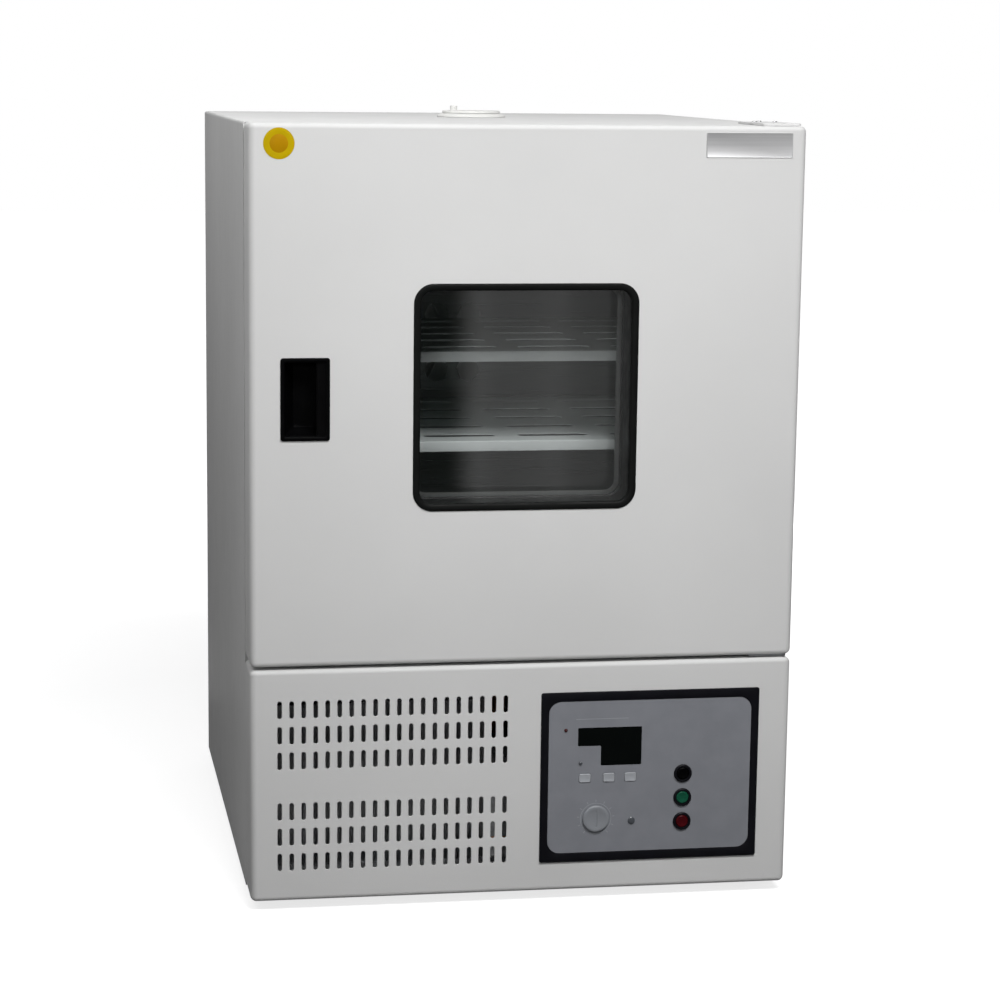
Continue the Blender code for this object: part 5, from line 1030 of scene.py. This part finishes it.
KEYS = ("left", "middle", "right")
BUTTONS = {"black": "black_button", "green": "green", "red": "red"}
LINE_NEAR, LINE_FAR = 0.00004, 0.00012
KEY_HOLE = (0.0141, 0.0106, 0.0021)
COLLAR_HOLE, DIAL_HOLE = 0.009, 0.0034
OVERLAY_CORNER, DISPLAY_CORNER = 0.0142, 0.0012
DISPLAY_STEP = (0.0268, 0.0233)
SMALL_LAMPS = (
    ("small_lamp", 0.1262, 0.092, 0.0042, "lamp"),
    ("small_led", 0.0482, 0.2005, 0.0021, "lamp_red"),
    ("second_led", 0.0658, 0.1614, 0.0021, "lamp"),
)


def build_surround():
    low, high, middle = span("panel_bezel")
    width, height = high.x - low.x, high.z - low.z
    face, back = low.y, high.y
    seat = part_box("lower_fascia")[0].y - FIT
    plate_low, plate_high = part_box("panel_plate")
    step = plate_high.y + FIT
    inner_w, inner_h = plate_high.x - plate_low.x + 2 * FIT, plate_high.z - plate_low.z + 2 * FIT
    outer, inner = (width, height), (inner_w, inner_h)
    rings = shrunk(
        (outer, 0.0062, 0.0018, seat), (outer, 0, 0.0025, seat), (outer, 0, 0.0025, face + 0.0008),
        (outer, 0.0005, 0.0024, face + 0.0003), (outer, 0.0016, 0.002, face), (inner, -0.0016, 0.0153, face),
        (inner, -0.0004, 0.0147, face + 0.0003), (inner, 0, 0.0145, face + 0.0009), (inner, 0, 0.0145, step),
        (inner, 0.008, 0.0105, step), (inner, 0.008, 0.0105, back), (outer, 0.007, 0.0016, back),
    )
    add("panel_surround", ring_stack(middle, rings, 8, True), "black", ("panel_bezel",))


def display_outline(grow):
    """The L-shaped window, its corners slightly rounded, grown outwards by a margin."""
    low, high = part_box("display_window")
    left, right, bottom, top = low.x - grow, high.x + grow, low.z - grow, high.z + grow
    step_x, step_z = low.x + DISPLAY_STEP[0] - grow, low.z + DISPLAY_STEP[1] - grow
    corners = [(left, top), (left, step_z), (step_x, step_z), (step_x, bottom), (right, bottom), (right, top)]
    points = []
    for index, corner in enumerate(corners):
        before, after = Vector(corners[index - 1]), Vector(corners[(index + 1) % len(corners)])
        corner = Vector(corner)
        start = corner + (before - corner).normalized() * DISPLAY_CORNER
        end = corner + (after - corner).normalized() * DISPLAY_CORNER
        for share in (0, 0.33, 0.67, 1.0):
            point = start * (1 - share) ** 2 + corner * 2 * share * (1 - share) + end * share**2
            points.append(tuple(point))
    return points


def build_overlay():
    """The grey plate with its cut-outs."""
    low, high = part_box("panel_plate")
    x, z = (low.x + high.x) / 2, (low.z + high.z) / 2
    outlines = [rect(x, z, high.x - low.x, high.z - low.z, OVERLAY_CORNER, 10), display_outline(FIT)]
    for name in KEYS:
        key = span(f"key_{name}")[2]
        outlines.append(rect(key.x, key.z, *KEY_HOLE, 4))
    for name in BUTTONS:
        cap = span(f"button_{name}")[2]
        outlines.append(arc(cap.x, cap.z, COLLAR_HOLE, 0, 360, 40)[:-1])
    dial = span("limit_dial")[2]
    outlines.append(arc(dial.x, dial.z, DIAL_HOLE, 0, 360, 24)[:-1])
    add("control_overlay", prism(outlines, low.y, high.y, "Y"), "plate", ("panel_plate",))


def build_printed_lines():
    """Thin plain lines on the plate, and its small lamps."""
    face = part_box("panel_plate")[0].y
    near, far = face - LINE_NEAR, face - LINE_FAR
    dial = span("limit_dial")[2]
    ring = [(0.0182, near), (0.0182, far), (0.0176, far), (0.0176, near)]
    add("dial_ring_line", lathe(ring, (dial.x, 0, dial.z), "Y", 64, True), "line")
    low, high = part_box("display_window")
    line = pad(low.x + 0.0275, high.z + 0.0105, 0.061, 0.0006, 0.0002, far, near, 0.00003)
    add("display_line", line, "line")
    for index in range(11):
        angle = radians(-140 + 28 * index)
        bar = pad(0, 0.0206, 0.0007, 0.0028, 0.0002, far, near, 0.00003)
        bar.transform(Matrix.Translation((dial.x, 0, dial.z)) @ Matrix.Rotation(angle, 4, "Y"))
        add(f"dial_tick_{index + 1}", bar, "line")
    for name, u, v, radius, look in SMALL_LAMPS:
        dome = [
            (0, face - 0.0001), (radius, face - 0.0001), (radius, face - 0.0005),
            (radius * 0.93, face - 0.0009), (radius * 0.7, face - 0.0013), (radius * 0.35, face - 0.0015),
            (0, face - 0.00155),
        ]
        add(name, lathe(dome, (u, 0, v), "Y", 32), look)


def build_display():
    low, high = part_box("display_window")
    lens = prism([display_outline(0)], low.y, high.y, "Y")
    add("display_lens", lens, "display", ("display_window",))


def build_keys():
    for name in KEYS:
        node = f"key_{name}"
        low, high, middle = span(node)
        rings = [
            (0.0118, 0.0083, 0.0012, low.y + 0.0001), (0.0124, 0.0089, 0.0014, low.y),
            (0.013, 0.0095, 0.0017, low.y + 0.0002), (0.0135, 0.01, 0.002, low.y + 0.0008),
            (0.0135, 0.01, 0.002, high.y),
        ]
        add(f"key_pad_{name}", ring_stack(middle, rings, 6, False), "key", (node,), node)


def build_buttons():
    for name, look in BUTTONS.items():
        node = f"button_{name}"
        low, high, middle = span(node)
        centre = (middle.x, 0, middle.z)
        radius = (high.x - low.x) / 2
        front = low.y
        profile = [
            (0, front + 0.0007), (radius * 0.45, front + 0.0006), (radius * 0.68, front + 0.0002),
            (radius * 0.8, front), (radius * 0.89, front + 0.0002), (radius * 0.965, front + 0.0008),
            (radius, front + 0.0016), (radius, high.y - 0.0003), (radius - 0.0003, high.y), (0, high.y),
        ]
        add(f"button_cap_{name}", lathe(profile, centre, "Y", 48), look, (node,), node)
        body = f"switch_body_{name}"
        ring_low, ring_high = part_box(body)
        outer = (ring_high.x - ring_low.x) / 2
        bore, neck, axis_gap = radius + FIT, 0.0086, 0.00002
        near, back = ring_low.y, ring_high.y
        well = high.y + 0.003
        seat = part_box("panel_plate")[0].y - FIT
        profile = [
            (bore, well), (bore, near + 0.0006), (bore + 0.0004, near + 0.0001), (bore + 0.0012, near),
            (outer - 0.0014, near), (outer - 0.0006, near + 0.0003), (outer - 0.0001, near + 0.0009),
            (outer, seat), (neck, seat), (neck, back), (axis_gap, back), (axis_gap, well),
        ]
        add(f"switch_collar_{name}", lathe(profile, centre, "Y", 48, True), "black", (body,))


def build_dial():
    """A knob with a pointer groove and a notched rim, one notch left out at the pointer."""
    low, high, middle = span("limit_dial")
    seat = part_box("panel_plate")[0].y - FIT
    front = low.y
    wide = (high.x - low.x) / 2
    shaft = 0.003
    profile = [
        (0, front + 0.0002), (wide * 0.7, front + 0.0002), (wide * 0.74, front), (wide - 0.0016, front),
        (wide - 0.0007, front + 0.0003), (wide - 0.0001, front + 0.001), (wide, seat - 0.0002),
        (wide - 0.0003, seat), (shaft, seat), (shaft, high.y), (0, high.y),
    ]
    knob = lathe(profile, (middle.x, 0, middle.z), "Y", 64)
    groove = pad(middle.x, middle.z, 0.0024, 0.02, 0.0011, front + 0.001, front - 0.001, 0.0003)
    notches = []
    for index in range(36):
        if index == 9:
            continue
        angle = radians(10 * index)
        reach = wide + 0.0002
        place = (middle.x + reach * cos(angle), 0, middle.z + reach * sin(angle))
        notches.append(rod(0.0005, front - 0.001, seat - 0.0006, place, "Y", 8))
    add("dial_knob", carve(knob, (groove, merged(*notches))), "dial", ("limit_dial",), "limit_dial")


# Inside the chamber

SHELF_SLOT, SHELF_PITCH, SHELF_MARGIN = (0.085, 0.02), 0.11, 0.045


def build_shelves():
    """Pressed trays with round-ended slots."""
    for name in ("shelf_lower", "shelf_upper"):
        low, high, middle = span(name)
        wide, deep = high.x - low.x, high.y - low.y
        wall = 0.001
        outer, bore = (wide, deep), (wide - 2 * wall, deep - 2 * wall)
        rings = shrunk(
            (outer, 0.004, 0.003, high.z), (outer, 0.0012, 0.0036, high.z - 0.0006),
            (outer, 0, 0.004, high.z - 0.002), (outer, 0, 0.004, low.z), (bore, 0, 0.003, low.z),
            (bore, 0, 0.003, high.z - 0.0026), (outer, 0.004, 0.003, high.z - wall),
        )
        tray = stack([(middle.x, middle.y, *ring) for ring in rings], "Z")
        slots = []
        for row in range(5):
            y = low.y + SHELF_MARGIN + row * (deep - 2 * SHELF_MARGIN) / 4
            for column in range(4):
                hole = rect(middle.x + (column - 1.5) * SHELF_PITCH, y, *SHELF_SLOT, SHELF_SLOT[1] / 2)
                slots.append(prism([hole], high.z - 0.004, high.z + 0.002, "Z"))
        add(f"pressed_{name}", carve(tray, (merged(*slots),)), "shelf", (name,))


SCREW_SMALL = screw_mesh(0.0029, 0.0014)
SCREW_BIG = screw_mesh(0.004, 0.0022)

build_feet()
build_fascia_skin()
build_door_skin()
build_hinge_plate()
build_rear_screws()
build_inlet_pins()
build_vent()
build_window()
build_window_spacer()
build_handle()
build_door_marks()
build_door_inside()
build_gasket()
build_surround()
build_overlay()
build_printed_lines()
build_display()
build_keys()
build_buttons()
build_dial()
build_shelves()
